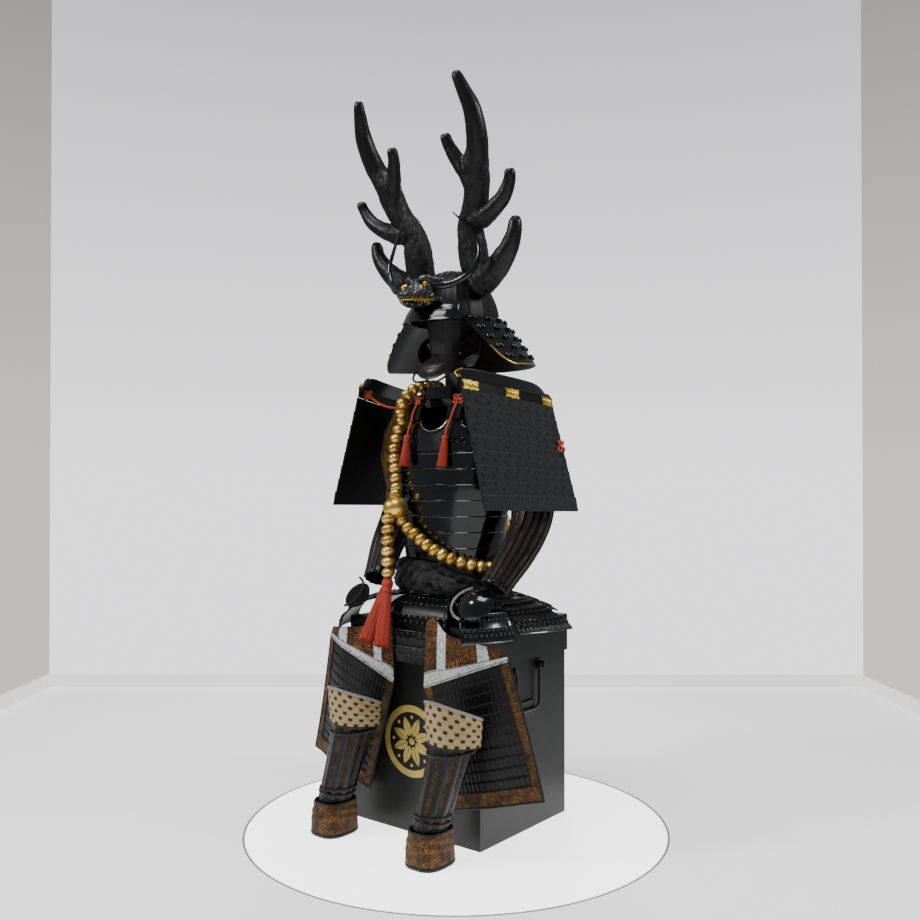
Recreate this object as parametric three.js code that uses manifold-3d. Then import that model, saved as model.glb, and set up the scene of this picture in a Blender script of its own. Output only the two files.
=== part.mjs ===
// Samurai armour seated on its armour box: antlered helmet, half mask, laced cuirass and tassets,
// shoulder guards, sleeves, thigh aprons, shin guards, foot covers, rosary and tassels.
// Millimetres. +Z is up, the wearer faces -Y and the wearer's left is +X.
// The origin is the middle of the box's underside, on the floor.
import * as THREE from 'three';
import { mergeVertices } from 'three/addons/utils/BufferGeometryUtils.js';
import Module from 'manifold-3d';

const wasm = await Module();
wasm.setup();

const GAP = 0.3;
const DEG = Math.PI / 180;

// Box
const BOX = { width: 439, depth: 389, height: 538.7, wall: 10 };
const LID = { width: 450, depth: 400, bottom: 449.5, top: 549, wall: 5, roof: 10 };
const BAIL = { span: 104, drop: 112, rod: 4, corner: 22, bend: 7, x: 231.5, z: 430, lug: 10, hole: 4.8 };
const PAD = { width: 70, height: 45, thick: 6.6 };

// Stand
const STAND = {
  post: 44, plateWidth: 180, plateDepth: 160, plateThick: 18,
  barHalf: 150, barDepth: 40, barHeight: 34, barTop: 1158.5, barY: -15,
  headLow: 1240, cheekBarZ: 1290, cheekBarY: -52, cheekBar: 18, pegZ: 1156,
};

// Helmet
const BOWL = {
  a: 115, b: 135, y: -20, base: 1350, rise: 150, thick: 3, top: 83, ribs: 20, rib: 1.5, spare: 0.9,
};
const VISOR = { half: 50, high: 1386, low: 1341, lift: 5.5, a: 128, b: 166, thick: 2.5 };
const BOWL_ROWS = [0, 0.14, 0.34, 0.56, 0.78, 1];
const NECK = {
  high: 1358, low: 1238, lift: 7.6, dip: 14, a: 222, b: 222, front: -38, frontLow: -12, corner: 4,
  lames: 5, step: 3, thick: 3, columns: 18,
};
const MASK = {
  width: 74, chinY: -128, chinZ: 1212, back: 62, rise: 64.6, reach: 98, height: 36, thick: 3,
  cheekBack: 90, cheekHigh: 30,
};
const THROAT = { width: 62, y: -122, bow: 34, low: 1140, high: 1172, thick: 3, lean: 6 };

// Cuirass: half width, half depth and centre of the trunk at each height
const TRUNK = [
  { z: 600, a: 143, b: 110, y: -25 },
  { z: 660, a: 140, b: 106, y: -25 },
  { z: 700, a: 138, b: 103, y: -25 },
  { z: 800, a: 148, b: 109, y: -22 },
  { z: 900, a: 160, b: 117, y: -18 },
  { z: 1000, a: 164, b: 121, y: -14 },
  { z: 1060, a: 150, b: 112, y: -10 },
  { z: 1130, a: 120, b: 90, y: -8 },
];
const TRUNK_POWER = 2.4;
const DO = { hem: 660, lamesTop: 996, lames: 8, step: 3, thick: 3, columns: 10 };
const FRONT_EDGE = { neckHalf: 44, neckLow: 1056, strapHalf: 92, strapTop: 1085, sideTop: 1000 };
const BACK_EDGE = { neckHalf: 44, neckLow: 1112, strapHalf: 108, strapTop: 1120, sideTop: 1034 };
const STRAP = { halfWidth: 22, thick: 6 };

// Sash and tassets
const SASH = {
  low: 622, high: 706, leftDrop: 36, swell: 24, wave: 5, waves: 9, lean: 2.2, stand: 3.8, columns: 27,
};
const TASSET = { top: DO.hem - GAP, flare: 616, step: 3, thick: 2.5, lames: 4, columns: 6 };
// phi is where a tasset hangs on the waist, span half its angle there; x, y, z is the middle
// of its lower edge, half that edge's half width, turn the edge's direction, bulge its belly,
// lap how soon it reaches out over the lap, and curve the bow of its lower edge
const TASSETS = [
  {
    name: 'tasset_front', phi: -90, span: 24, x: 14, y: -206, z: 445,
    half: 108, turn: 0, bulge: 0, lap: 9, curve: 0,
  },
  {
    name: 'tasset_front_left', phi: -43, span: 20, x: 246, y: -196, z: 522,
    half: 74, turn: 65, bulge: 18, lap: 2, curve: 12,
  },
  {
    name: 'tasset_front_right', phi: -137, span: 20, x: -246, y: -196, z: 522,
    half: 74, turn: -65, bulge: 18, lap: 2, curve: 12,
  },
  {
    name: 'tasset_side_left', phi: 0, span: 18, x: 294, y: 2, z: 530,
    half: 88, turn: 72, bulge: 14, lap: 1.2, curve: 12,
  },
  {
    name: 'tasset_side_right', phi: 180, span: 18, x: -294, y: 2, z: 530,
    half: 88, turn: -72, bulge: 14, lap: 1.2, curve: 12,
  },
  {
    name: 'tasset_back_left', phi: 56, span: 30, x: 136, y: 208, z: 560,
    half: 88, turn: 158, bulge: 6, lap: 1, curve: 12,
  },
  {
    name: 'tasset_back_right', phi: 124, span: 30, x: -136, y: 208, z: 560,
    half: 88, turn: -158, bulge: 6, lap: 1, curve: 12,
  },
];

// Shoulder guards: corners of the laced sheet on the left arm
const SODE = {
  topFront: [207, -247, 1150], topRear: [268, 67, 1115],
  lowFront: [272, -238, 852], lowRear: [330, 95, 842],
  belly: 12, lames: 8, step: 3, knot: 1.6, thick: 3, columns: 10, rightBack: 57, rightIn: 1, leftIn: 6,
  rightFlare: [25, -15, 0],
};
const CROWN = { band: 27, flap: 34, lean: 20, thick: 4 };

// Sleeves: centre line, half width across and half depth of the left one
const SLEEVE = [
  { x: 160, y: -10, z: 1142, across: 42, deep: 56 },
  { x: 180, y: -6, z: 1095, across: 46, deep: 52 },
  { x: 214, y: 0, z: 1040, across: 52, deep: 54 },
  { x: 230, y: 8, z: 980, across: 52, deep: 55 },
  { x: 222, y: 18, z: 915, across: 49, deep: 56 },
  { x: 227, y: 26, z: 850, across: 55, deep: 57 },
  { x: 233, y: 0, z: 795, across: 50, deep: 50 },
  { x: 229, y: -45, z: 735, across: 44, deep: 44 },
  { x: 214, y: -88, z: 680, across: 40, deep: 38 },
  { x: 204, y: -115, z: 645, across: 37, deep: 34 },
];
const SLEEVE_CUT = { thick: 3, splint: 2.5, columns: 14, rows: 8, splintFrom: 0.52 };
const HANDS = {
  left: { x: 213, y: -212, z: 614, width: 64, length: 48 },
  right: { x: 226, y: -205, z: 614, width: 50, length: 48 },
};
const HAND = { rise: 26, thick: 2.5 };

// Thigh aprons: inner and outer edge of the left one at each height
const THIGH = [
  { t: 0.0, inX: 140, inZ: 95, outX: 393, outZ: 155 },
  { t: 0.68, inX: 52, inZ: 395, outX: 304, outZ: 492 },
  { t: 1.0, inX: 60, inZ: 538, outX: 292, outZ: 512 },
];
const THIGH_CUT = { y: -212, wrap: 42, wrapFrom: 232, wrapLength: 160, thick: 2.5, step: 1.6, rows: 6 };
const KNEE_BULGE = { at: 0.1, half: 0.13, rise: 36 };

// Legs: one row a leg
const LEGS = [
  { side: 'left', footX: 165, footY: -320, kneeX: 204, kneeY: -270, plateTop: 398 },
  { side: 'right', footX: -172, footY: -310, kneeX: -128, kneeY: -270, plateTop: 388 },
];
const SHIN = {
  low: 86.8, high: 312, lowX: 41, lowY: 45, highX: 55, highY: 66, open: 34, thick: 3, splint: 3,
};
// The knee plate runs this far round the knee from its middle, in degrees
const KNEE = { low: 292, reach: 98, thick: 4, stand: 3.8, fall: 0.36, tilt: 9 };
const FOOT = [
  { z: 0, y: -2, across: 46, deep: 56 },
  { z: 12, y: -2, across: 50, deep: 60 },
  { z: 50, y: -3, across: 49, deep: 58 },
  { z: 85.7, y: 0, across: 46, deep: 52 },
];
const FOOT_POWER = 2.8;
const FOOT_WALL = { side: 3, sole: 10 };

// Rosary
const BEAD = { radius: 17.5, pitch: 27, waist: 5, sides: 6, big: 35, bigHigh: 30 };
// Where the strand lies: degrees round the trunk, height and stand-off from the trunk's surface
const STRAND = [
  { phi: -136, z: 1085, off: 24 }, { phi: -135, z: 1050, off: 24 }, { phi: -131, z: 1000, off: 23 },
  { phi: -128, z: 940, off: 22 }, { phi: -125, z: 893, off: 24 }, { phi: -118, z: 848, off: 40 },
  { phi: -112, z: 806, off: 28 }, { phi: -98, z: 774, off: 22 }, { phi: -82, z: 740, off: 22 },
  { phi: -66, z: 720, off: 22 }, { phi: -46, z: 704, off: 22 }, { phi: -22, z: 693, off: 22 },
  { phi: 5, z: 694, off: 22 }, { phi: 30, z: 712, off: 22 }, { phi: 52, z: 762, off: 22 },
  { phi: 72, z: 835, off: 22 }, { phi: 90, z: 905, off: 22 }, { phi: 104, z: 975, off: 23 },
  { phi: 116, z: 1040, off: 24 }, { phi: 124, z: 1090, off: 27 },
];
const OVER_SHOULDER = [
  [-92, 98, 1128], [-90, 74, 1158.6], [-88, 31, 1180.6], [-88, -15, 1186.6], [-90, -57, 1182.6],
  [-97, -96, 1166], [-106, -124, 1126],
];
const PENDANTS = [
  [[-103, -182, 832], [-94, -193, 776], [-87, -199, 720], [-83, -202, 659.6]],
  [[-122, -157, 832], [-118, -164, 776], [-111, -171, 720], [-106, -173, 659.6]],
];

// Tassels: head radius, spread of the fringe at its foot and number of locks
const BIG_TASSEL = { head: 15, spread: 20, locks: 16, lock: 2.4, foot: 3.6, headShare: 0.2 };
const SMALL_TASSEL = { head: 9, spread: 14, locks: 9, lock: 1.8, foot: 2.6, headShare: 0.22 };
const CORD_RADIUS = 3;

const v3 = (x, y, z) => new THREE.Vector3(x, y, z);
const lerp = (a, b, t) => a + (b - a) * t;
const clamp01 = (t) => Math.min(1, Math.max(0, t));
const smooth = (t) => clamp01(t) ** 2 * (3 - 2 * clamp01(t));
const steps = (n, from = 0, to = 1) => Array.from({ length: n + 1 }, (_, i) => lerp(from, to, i / n));

// One value of a table's column, read between its rows
function between(table, key, value, by) {
  let i = 0;
  while (i < table.length - 2 && value > table[i + 1][by]) i += 1;
  const t = (value - table[i][by]) / (table[i + 1][by] - table[i][by]);
  return lerp(table[i][key], table[i + 1][key], clamp01(t));
}

function volume(points, faces) {
  let sum = 0;
  for (const [a, b, c] of faces) sum += points[a].dot(points[b].clone().cross(points[c]));
  return sum / 6;
}

function solid(points, faces) {
  const out = volume(points, faces) < 0 ? faces.map(([a, b, c]) => [a, c, b]) : faces;
  const geometry = new THREE.BufferGeometry();
  const flat = points.flatMap((p) => [p.x, p.y, p.z]);
  geometry.setAttribute('position', new THREE.Float32BufferAttribute(flat, 3));
  geometry.setIndex(out.flat());
  return geometry;
}

// A closed wall over a grid: the outer side is at(u, v) raised by raise(column, row), and the
// inner side is plain, one thickness in, with only every skipU-th column and skipV-th row.
// inside(p) is a point that the outer side looks away from.
function wall({ at, us, vs, thick, raise = () => 0, ring = false, inside, skipU = 1, skipV = 1 }) {
  const points = [];
  const faces = [];
  const d = 1e-3;
  const keep = (list, skip, closed) => list.map((_, i) => i)
    .filter((i) => i % skip === 0 || (!closed && i === list.length - 1));
  const put = (u, v, offset) => {
    const p = at(u, v);
    const along = at(u + d, v).sub(at(u - d, v));
    const down = at(u, v + d).sub(at(u, v - d));
    const normal = along.cross(down).normalize();
    if (normal.dot(p.clone().sub(inside(p))) < 0) normal.negate();
    points.push(p.addScaledVector(normal, offset));
    return points.length - 1;
  };
  const outer = vs.map((v, row) => us.map((u, column) => put(u, v, raise(column, row))));
  const columns = keep(us, skipU, ring);
  const rows = keep(vs, skipV, false);
  const inner = rows.map((row) => columns.map((column) => put(us[column], vs[row], -thick)));
  if (ring) {
    outer.forEach((line) => line.push(line[0]));
    inner.forEach((line) => line.push(line[0]));
    columns.push(us.length);
  }
  const sheet = (grid, turned) => {
    for (let r = 0; r < grid.length - 1; r += 1) {
      for (let c = 0; c < grid[0].length - 1; c += 1) {
        const [a, b, e, f] = [grid[r][c], grid[r][c + 1], grid[r + 1][c + 1], grid[r + 1][c]];
        faces.push(...(turned ? [[a, e, b], [a, f, e]] : [[a, b, e], [a, e, f]]));
      }
    }
  };
  // A strip along an edge: each inner step is a fan over the outer steps that it spans
  const strip = (outerLine, innerLine, marks, turned) => {
    for (let k = 0; k < innerLine.length - 1; k += 1) {
      const fan = [];
      for (let i = marks[k]; i < marks[k + 1]; i += 1) {
        fan.push([innerLine[k], outerLine[i + 1], outerLine[i]]);
      }
      fan.push([innerLine[k], innerLine[k + 1], outerLine[marks[k + 1]]]);
      faces.push(...fan.map(([a, b, c]) => (turned ? [a, c, b] : [a, b, c])));
    }
  };
  sheet(outer, false);
  sheet(inner, true);
  strip(outer[0], inner[0], columns, false);
  strip(outer[outer.length - 1], inner[inner.length - 1], columns, true);
  if (!ring) {
    const side = (grid, c) => grid.map((line) => line[c]);
    strip(side(outer, 0), side(inner, 0), rows, true);
    strip(side(outer, us.length - 1), side(inner, inner[0].length - 1), rows, false);
  }
  return solid(points, faces);
}

// Rows of overlapping lames: each one starts a step proud of the lame above it
function lameRows(count, step, from = 0, to = 1) {
  const seam = (to - from) * 0.002;
  const vs = [];
  for (let k = 0; k < count; k += 1) {
    vs.push(lerp(from, to, k / count) + (k ? seam : 0), lerp(from, to, (k + 1) / count) - seam);
  }
  return { vs, rise: (row) => (row % 2 ? 0 : step) };
}

// A closed skin over rings of points, with its ends capped, or closed on itself
function skin(rings, closed = false) {
  const n = rings[0].length;
  const points = rings.flat();
  const faces = [];
  const count = closed ? rings.length : rings.length - 1;
  for (let r = 0; r < count; r += 1) {
    const s = (r + 1) % rings.length;
    for (let i = 0; i < n; i += 1) {
      const j = (i + 1) % n;
      faces.push([r * n + i, r * n + j, s * n + j], [r * n + i, s * n + j, s * n + i]);
    }
  }
  if (!closed) {
    for (const [ring, turned] of [[0, true], [rings.length - 1, false]]) {
      const centre = points.length;
      const middle = v3(0, 0, 0);
      rings[ring].forEach((p) => middle.addScaledVector(p, 1 / n));
      points.push(middle);
      for (let i = 0; i < n; i += 1) {
        const a = ring * n + i;
        const b = ring * n + ((i + 1) % n);
        faces.push(turned ? [b, a, centre] : [a, b, centre]);
      }
    }
  }
  return solid(points, faces);
}

// Rings round a line of points, with a radius pair at each, carried along without twist
function ringsAlong(line, radii, sides, side = v3(1, 0, 0)) {
  let across = side.clone();
  return line.map((p, i) => {
    const ahead = line[Math.min(i + 1, line.length - 1)];
    const behind = line[Math.max(i - 1, 0)];
    const run = ahead.clone().sub(behind).normalize();
    across = across.clone().addScaledVector(run, -across.dot(run)).normalize();
    const deep = run.clone().cross(across);
    const [ra, rd] = radii(i);
    return steps(sides).slice(0, sides).map((t) => p.clone()
      .addScaledVector(across, ra * Math.cos(t * 2 * Math.PI))
      .addScaledVector(deep, rd * Math.sin(t * 2 * Math.PI)));
  });
}

function toManifold(geometry) {
  const bare = geometry.clone();
  bare.deleteAttribute('normal');
  bare.deleteAttribute('uv');
  const merged = mergeVertices(bare, 1e-4);
  return new wasm.Manifold(new wasm.Mesh({
    numProp: 3,
    vertProperties: new Float32Array(merged.attributes.position.array),
    triVerts: new Uint32Array(merged.index.array),
  }));
}

function fromManifold(body) {
  const mesh = body.getMesh();
  const geometry = new THREE.BufferGeometry();
  geometry.setAttribute('position', new THREE.BufferAttribute(mesh.vertProperties, 3));
  geometry.setIndex(new THREE.BufferAttribute(mesh.triVerts, 1));
  return geometry;
}

const join = (...parts) => fromManifold(parts.map(toManifold).reduce((a, b) => a.add(b)));
const cut = (part, ...tools) => fromManifold(
  tools.map(toManifold).reduce((a, b) => a.subtract(b), toManifold(part)));

// A box from its lowest to its highest corner
function block(low, high) {
  const size = high.map((h, i) => h - low[i]);
  const geometry = new THREE.BoxGeometry(...size);
  return geometry.translate(...low.map((l, i) => l + size[i] / 2));
}

const paint = (colour, roughness, metalness = 0) => new THREE.MeshStandardMaterial({
  color: colour, roughness, metalness,
});
const lacquer = paint(0x2b2d2d, 0.35);
const blackPlate = paint(0x202426, 0.45);
const glossPlate = paint(0x14181a, 0.15);
const blackIron = paint(0x1c1c1c, 0.5, 0.6);
const wood = paint(0x6b4a2c, 0.7);
const blackCloth = paint(0x161616, 0.9);
const brocade = paint(0x5a3216, 0.85);
const gold = paint(0xb8963c, 0.4, 0.8);
const redSilk = paint(0xb5402c, 0.8);
const beige = paint(0xb8a47c, 0.85);
const maskBrown = paint(0x2a2422, 0.5);

const model = new THREE.Group();
function add(name, geometry, material) {
  const mesh = new THREE.Mesh(geometry, material);
  mesh.name = name;
  model.add(mesh);
}
const bothSides = (make) => [['left', 1], ['right', -1]].forEach(([side, sign]) => make(side, sign));

// Turns a left-hand shape into a right-hand one
function mirrored(geometry) {
  const copy = geometry.clone().scale(-1, 1, 1);
  const index = Array.from(copy.index.array);
  for (let i = 0; i < index.length; i += 3) [index[i], index[i + 1]] = [index[i + 1], index[i]];
  copy.setIndex(index);
  return copy;
}
const handed = (geometry, sign) => (sign > 0 ? geometry : mirrored(geometry));

// Trunk surface at an angle round it (0 at the left side, -90 in front) and a height
function trunk(degrees, z, off = 0) {
  const a = between(TRUNK, 'a', z, 'z');
  const b = between(TRUNK, 'b', z, 'z');
  const c = Math.cos(degrees * DEG);
  const s = Math.sin(degrees * DEG);
  const x = a * Math.sign(c) * Math.abs(c) ** (2 / TRUNK_POWER);
  const y = b * Math.sign(s) * Math.abs(s) ** (2 / TRUNK_POWER);
  const normal = v3(
    Math.sign(x) * Math.abs(x / a) ** (TRUNK_POWER - 1) / a,
    Math.sign(y) * Math.abs(y / b) ** (TRUNK_POWER - 1) / b, 0).normalize();
  return v3(x, between(TRUNK, 'y', z, 'z') + y, z).addScaledVector(normal, off);
}
const trunkAxis = (p) => v3(0, -20, p.z);

// Armour box and its lid
const half = (n) => n / 2;
function tray(w, d, low, high, side, floorLow, roofHigh) {
  const shell = block([-half(w), -half(d), low], [half(w), half(d), high]);
  const room = block([-half(w) + side, -half(d) + side, floorLow],
    [half(w) - side, half(d) - side, roofHigh]);
  return cut(shell, room);
}
add('box_body', tray(BOX.width, BOX.depth, 0, BOX.height, BOX.wall, BOX.wall, BOX.height + 5), lacquer);
add('box_lid', tray(LID.width, LID.depth, LID.bottom, LID.top, LID.wall, LID.bottom - 5,
  LID.top - LID.roof), lacquer);

// Bail handles: a bent rod that turns in two lugs, and a pad that it rests on
function handleLug(sign, y) {
  const face = half(BOX.width) + GAP;
  const yLow = y - half(BAIL.lug);
  const foot = block([face, y - 12, BAIL.z - 14], [face + 3, y + 12, BAIL.z + 14]);
  const ear = block([face + 2, yLow, BAIL.z - 8], [BAIL.x + 8, yLow + BAIL.lug, BAIL.z + 8]);
  const bore = new THREE.CylinderGeometry(BAIL.hole, BAIL.hole, BAIL.lug + 4, 8);
  bore.translate(BAIL.x, y, BAIL.z);
  return handed(cut(join(foot, ear), bore), sign);
}
function bail() {
  const leg = half(BAIL.span);
  const end = leg + 9 + BAIL.lug + 2;
  const low = BAIL.z - BAIL.drop;
  const corner = (y, z, from, to, r) => steps(2).map((t) => {
    const turn = lerp(from, to, t) * DEG;
    return v3(BAIL.x, y + r * Math.cos(turn), z + r * Math.sin(turn));
  });
  const { bend } = BAIL;
  const oneSide = [
    v3(BAIL.x, end, BAIL.z),
    ...corner(leg + bend, BAIL.z - bend, 90, 180, bend),
    ...corner(leg - BAIL.corner, low + BAIL.corner, 0, -90, BAIL.corner),
  ];
  const line = [...oneSide, ...oneSide.slice().reverse().map((p) => v3(p.x, -p.y, p.z))];
  return skin(ringsAlong(line, () => [BAIL.rod, BAIL.rod], 6));
}
bothSides((side, sign) => {
  const face = half(BOX.width) + GAP;
  const padZ = BAIL.z - BAIL.drop;
  const pad = block([face, -half(PAD.width), padZ - half(PAD.height)],
    [face + PAD.thick, half(PAD.width), padZ + half(PAD.height)]);
  add(`handle_pad_${side}`, handed(pad, sign), blackIron);
  const lugY = half(BAIL.span) + 13;
  add(`handle_eye_${side}_front`, handleLug(sign, -lugY), blackIron);
  add(`handle_eye_${side}_back`, handleLug(sign, lugY), blackIron);
  add(`handle_${side}`, handed(bail(), sign), blackIron);
});

// Helmet bowl: e is the angle up from the rim
function bowlPoint(degrees, e, off = 0) {
  const r = Math.cos(e * DEG);
  return v3((BOWL.a + off) * r * Math.cos(degrees * DEG),
    BOWL.y + (BOWL.b + off) * r * Math.sin(degrees * DEG),
    BOWL.base + (BOWL.rise + off) * Math.sin(e * DEG));
}
const bowlHeart = () => v3(0, BOWL.y, BOWL.base);
const bowlAngle = (z) => Math.asin((z - BOWL.base) / BOWL.rise) / DEG;
const bowlWall = () => wall({
  at: (u, v) => bowlPoint(u * 360, v * BOWL.top),
  us: steps(BOWL.ribs).slice(0, BOWL.ribs), vs: BOWL_ROWS,
  thick: BOWL.thick, raise: (column) => (column % 2) * BOWL.rib, ring: true, inside: bowlHeart,
});
const bowlBlock = (off) => skin([-8, 0, 15, 30, 45, 60, 75, 88].map((e) => steps(32).slice(0, 32)
  .map((t) => bowlPoint(t * 360, e, off))));
add('helmet_bowl', bowlWall(), blackPlate);

// Visor round the front of the bowl
function visorWall(grow = 0) {
  const at = (u, v) => {
    const degrees = -90 + lerp(-VISOR.half, VISOR.half, u);
    const high = bowlPoint(degrees, bowlAngle(VISOR.high), VISOR.lift);
    const low = v3(VISOR.a * Math.cos(degrees * DEG), BOWL.y + VISOR.b * Math.sin(degrees * DEG),
      VISOR.low + 6 * Math.cos(degrees * DEG) ** 2);
    return high.lerp(low, v).add(v3(0, 0, 4 * Math.sin(v * Math.PI)));
  };
  return wall({
    at, us: steps(12), vs: grow ? [-0.02, 0.5, 1.02] : [0, 0.5, 1],
    thick: VISOR.thick + grow, raise: () => grow, inside: bowlHeart,
  });
}
add('helmet_visor', visorWall(), glossPlate);

// Neck guard: flaring lames round the sides and back of the bowl
function neckPoint(u, v) {
  const corner = NECK.corner * clamp01((v - 0.8) / 0.2) ** 2;
  const start = lerp(NECK.front, NECK.frontLow, v) + corner;
  const degrees = lerp(start, 180 - start, u);
  const c = Math.cos(degrees * DEG);
  const s = Math.sin(degrees * DEG);
  const topA = BOWL.a + NECK.lift;
  const topB = BOWL.b + NECK.lift;
  const flare = Math.max(v, 0) ** 0.85;
  return v3(lerp(topA, NECK.a, flare) * c, BOWL.y + lerp(topB, NECK.b, flare) * s,
    lerp(NECK.high, NECK.low, v) - NECK.dip * v * clamp01(0.6 - s));
}
const neckRows = lameRows(NECK.lames, NECK.step);
add('neck_guard', wall({
  at: neckPoint, us: steps(NECK.columns), vs: neckRows.vs, thick: NECK.thick,
  raise: (column, row) => neckRows.rise(row), inside: (p) => v3(0, BOWL.y, p.z), skipU: 2, skipV: 2,
}), blackPlate);

// Beast's head on the brow: one row a section, from the back of the head to the snout
const HEAD = [
  { y: -128, z: 1424, across: 40, up: 27 },
  { y: -150, z: 1424, across: 50, up: 34 },
  { y: -172, z: 1424, across: 49, up: 33 },
  { y: -190, z: 1416, across: 38, up: 25 },
  { y: -210, z: 1408, across: 28, up: 17 },
  { y: -228, z: 1404, across: 24, up: 15 },
  { y: -238, z: 1402, across: 16, up: 10 },
];
const JAW = [
  { y: -146, z: 1396, across: 34, up: 12 },
  { y: -180, z: 1390, across: 27, up: 10 },
  { y: -208, z: 1384, across: 20, up: 8 },
  { y: -226, z: 1384, across: 12, up: 6 },
];
function beast(grow = 0) {
  const section = (rows) => skin(rows.map((r, i) => {
    const end = i === 0 || i === rows.length - 1 ? grow * Math.sign(i - 0.5) : 0;
    return steps(8).slice(0, 8).map((t) => v3((r.across + grow) * Math.cos(t * 2 * Math.PI), r.y - end,
      r.z + (r.up + grow) * Math.sin(t * 2 * Math.PI)));
  }));
  const brow = skin(ringsAlong(
    [v3(8, -186, 1444), v3(26, -182, 1452), v3(44, -160, 1448)],
    (i) => [[7, 5], [10, 8], [5, 5]][i].map((r) => r + grow), 6, v3(0, 0, 1)));
  const nostril = new THREE.SphereGeometry(7 + grow, 6, 4).translate(12, -232, 1410);
  const all = join(section(HEAD), section(JAW), brow, mirrored(brow), nostril, mirrored(nostril));
  return cut(all, bowlBlock(BOWL.rib + GAP + BOWL.spare - grow), visorWall(GAP));
}
add('crest_beast', beast(), blackPlate);

const CREST_HORN = [
  { x: 38, y: -170, z: 1436, r: 9 },
  { x: 92, y: -158, z: 1432, r: 8 },
  { x: 136, y: -130, z: 1462, r: 7 },
  { x: 157, y: -116, z: 1512, r: 6 },
  { x: 143, y: -114, z: 1560, r: 5 },
  { x: 114, y: -126, z: 1598, r: 4 },
  { x: 87, y: -140, z: 1626, r: 2 },
];
// A tapering horn along a table of centres and radii
function taper(rows, pieces, sides, flat = 1) {
  const path = new THREE.CatmullRomCurve3(rows.map((r) => v3(r.x, r.y, r.z)));
  const at = (t) => {
    const scaled = t * (rows.length - 1);
    const i = Math.min(Math.floor(scaled), rows.length - 2);
    return lerp(rows[i].r, rows[i + 1].r, scaled - i);
  };
  const ts = steps(pieces);
  return skin(ringsAlong(ts.map((t) => path.getPoint(t)), (i) => [at(ts[i]), at(ts[i]) * flat], sides));
}
bothSides((side, sign) => {
  const horn = cut(taper(CREST_HORN, 9, 6), beast(GAP));
  add(`crest_horn_${side}`, handed(horn, sign), glossPlate);
});

// Antlers
const BEAM = [
  { x: 88, y: -34, z: 1440, r: 30 },
  { x: 97, y: -50, z: 1484, r: 38 },
  { x: 95, y: -64, z: 1544, r: 37 },
  { x: 100, y: -78, z: 1602, r: 32 },
  { x: 130, y: -96, z: 1652, r: 31 },
  { x: 147, y: -114, z: 1702, r: 33 },
  { x: 155, y: -129, z: 1742, r: 34 },
  { x: 174, y: -146, z: 1776, r: 27 },
  { x: 185, y: -166, z: 1818, r: 25 },
  { x: 188, y: -188, z: 1864, r: 21 },
  { x: 178, y: -211, z: 1908, r: 15 },
  { x: 170, y: -226, z: 1940, r: 10 },
  { x: 168, y: -229, z: 1949, r: 3 },
];
const LOWER_TINE = [
  { x: 100, y: -48, z: 1446, r: 34 },
  { x: 137, y: -50, z: 1463, r: 34 },
  { x: 176, y: -58, z: 1488, r: 30 },
  { x: 217, y: -67, z: 1528, r: 24 },
  { x: 238, y: -74, z: 1564, r: 19 },
  { x: 243, y: -76, z: 1592, r: 14 },
  { x: 243, y: -77, z: 1604, r: 5 },
];
const UPPER_TINE = [
  { x: 112, y: -88, z: 1604, r: 25 },
  { x: 147, y: -94, z: 1608, r: 25 },
  { x: 187, y: -100, z: 1624, r: 22 },
  { x: 228, y: -107, z: 1650, r: 19 },
  { x: 252, y: -115, z: 1684, r: 15 },
  { x: 259, y: -122, z: 1704, r: 11 },
  { x: 260, y: -124, z: 1713, r: 4 },
];
const INNER_TINE = [
  { x: 140, y: -124, z: 1700, r: 26 },
  { x: 129, y: -135, z: 1724, r: 22 },
  { x: 111, y: -150, z: 1756, r: 19 },
  { x: 97, y: -165, z: 1790, r: 15 },
  { x: 94, y: -176, z: 1812, r: 11 },
  { x: 94, y: -179, z: 1821, r: 4 },
];
const antler = cut(join(taper(BEAM, 12, 8), taper(LOWER_TINE, 6, 7), taper(UPPER_TINE, 6, 7),
  taper(INNER_TINE, 5, 6)), bowlBlock(BOWL.rib + GAP + BOWL.spare), beast(GAP));
bothSides((side, sign) => add(`antler_${side}`, handed(antler, sign), blackPlate));

// Half mask: a band that runs from cheek to cheek round the chin
function maskWall(grow = 0) {
  const at = (u, v) => {
    const turn = lerp(-MASK.reach, MASK.reach, u) * DEG;
    const c = 1 - Math.cos(turn);
    const rise = MASK.height * (0.85 + 0.25 * Math.cos(turn));
    const back = c * MASK.back + MASK.cheekBack * Math.max(0, c - 0.4) ** 2;
    return v3(MASK.width * Math.sin(turn) * (1 + 0.06 * v), MASK.chinY + back - 8 * (1 - v),
      MASK.chinZ + c * MASK.rise + rise * (v - 0.5) + MASK.cheekHigh * smooth(c) * v);
  };
  return wall({
    at, us: steps(12), vs: grow ? [-0.02, 0.5, 1.02] : [0, 0.5, 1], thick: MASK.thick + grow,
    raise: () => grow, inside: (p) => v3(0, -50, p.z),
  });
}
add('face_mask', maskWall(), maskBrown);

// Throat plate under the mask
const throatWall = (grow = 0) => wall({
  at: (u, v) => {
    const x = lerp(-THROAT.width, THROAT.width, u);
    const back = THROAT.bow * (x / THROAT.width) ** 2 - THROAT.lean * v;
    return v3(x, THROAT.y + back, lerp(THROAT.high, THROAT.low, v));
  },
  us: steps(10), vs: [0, 0.5, 1], thick: THROAT.thick + grow, inside: (p) => v3(0, 0, p.z),
});
add('throat_guard', throatWall(), glossPlate);

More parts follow.
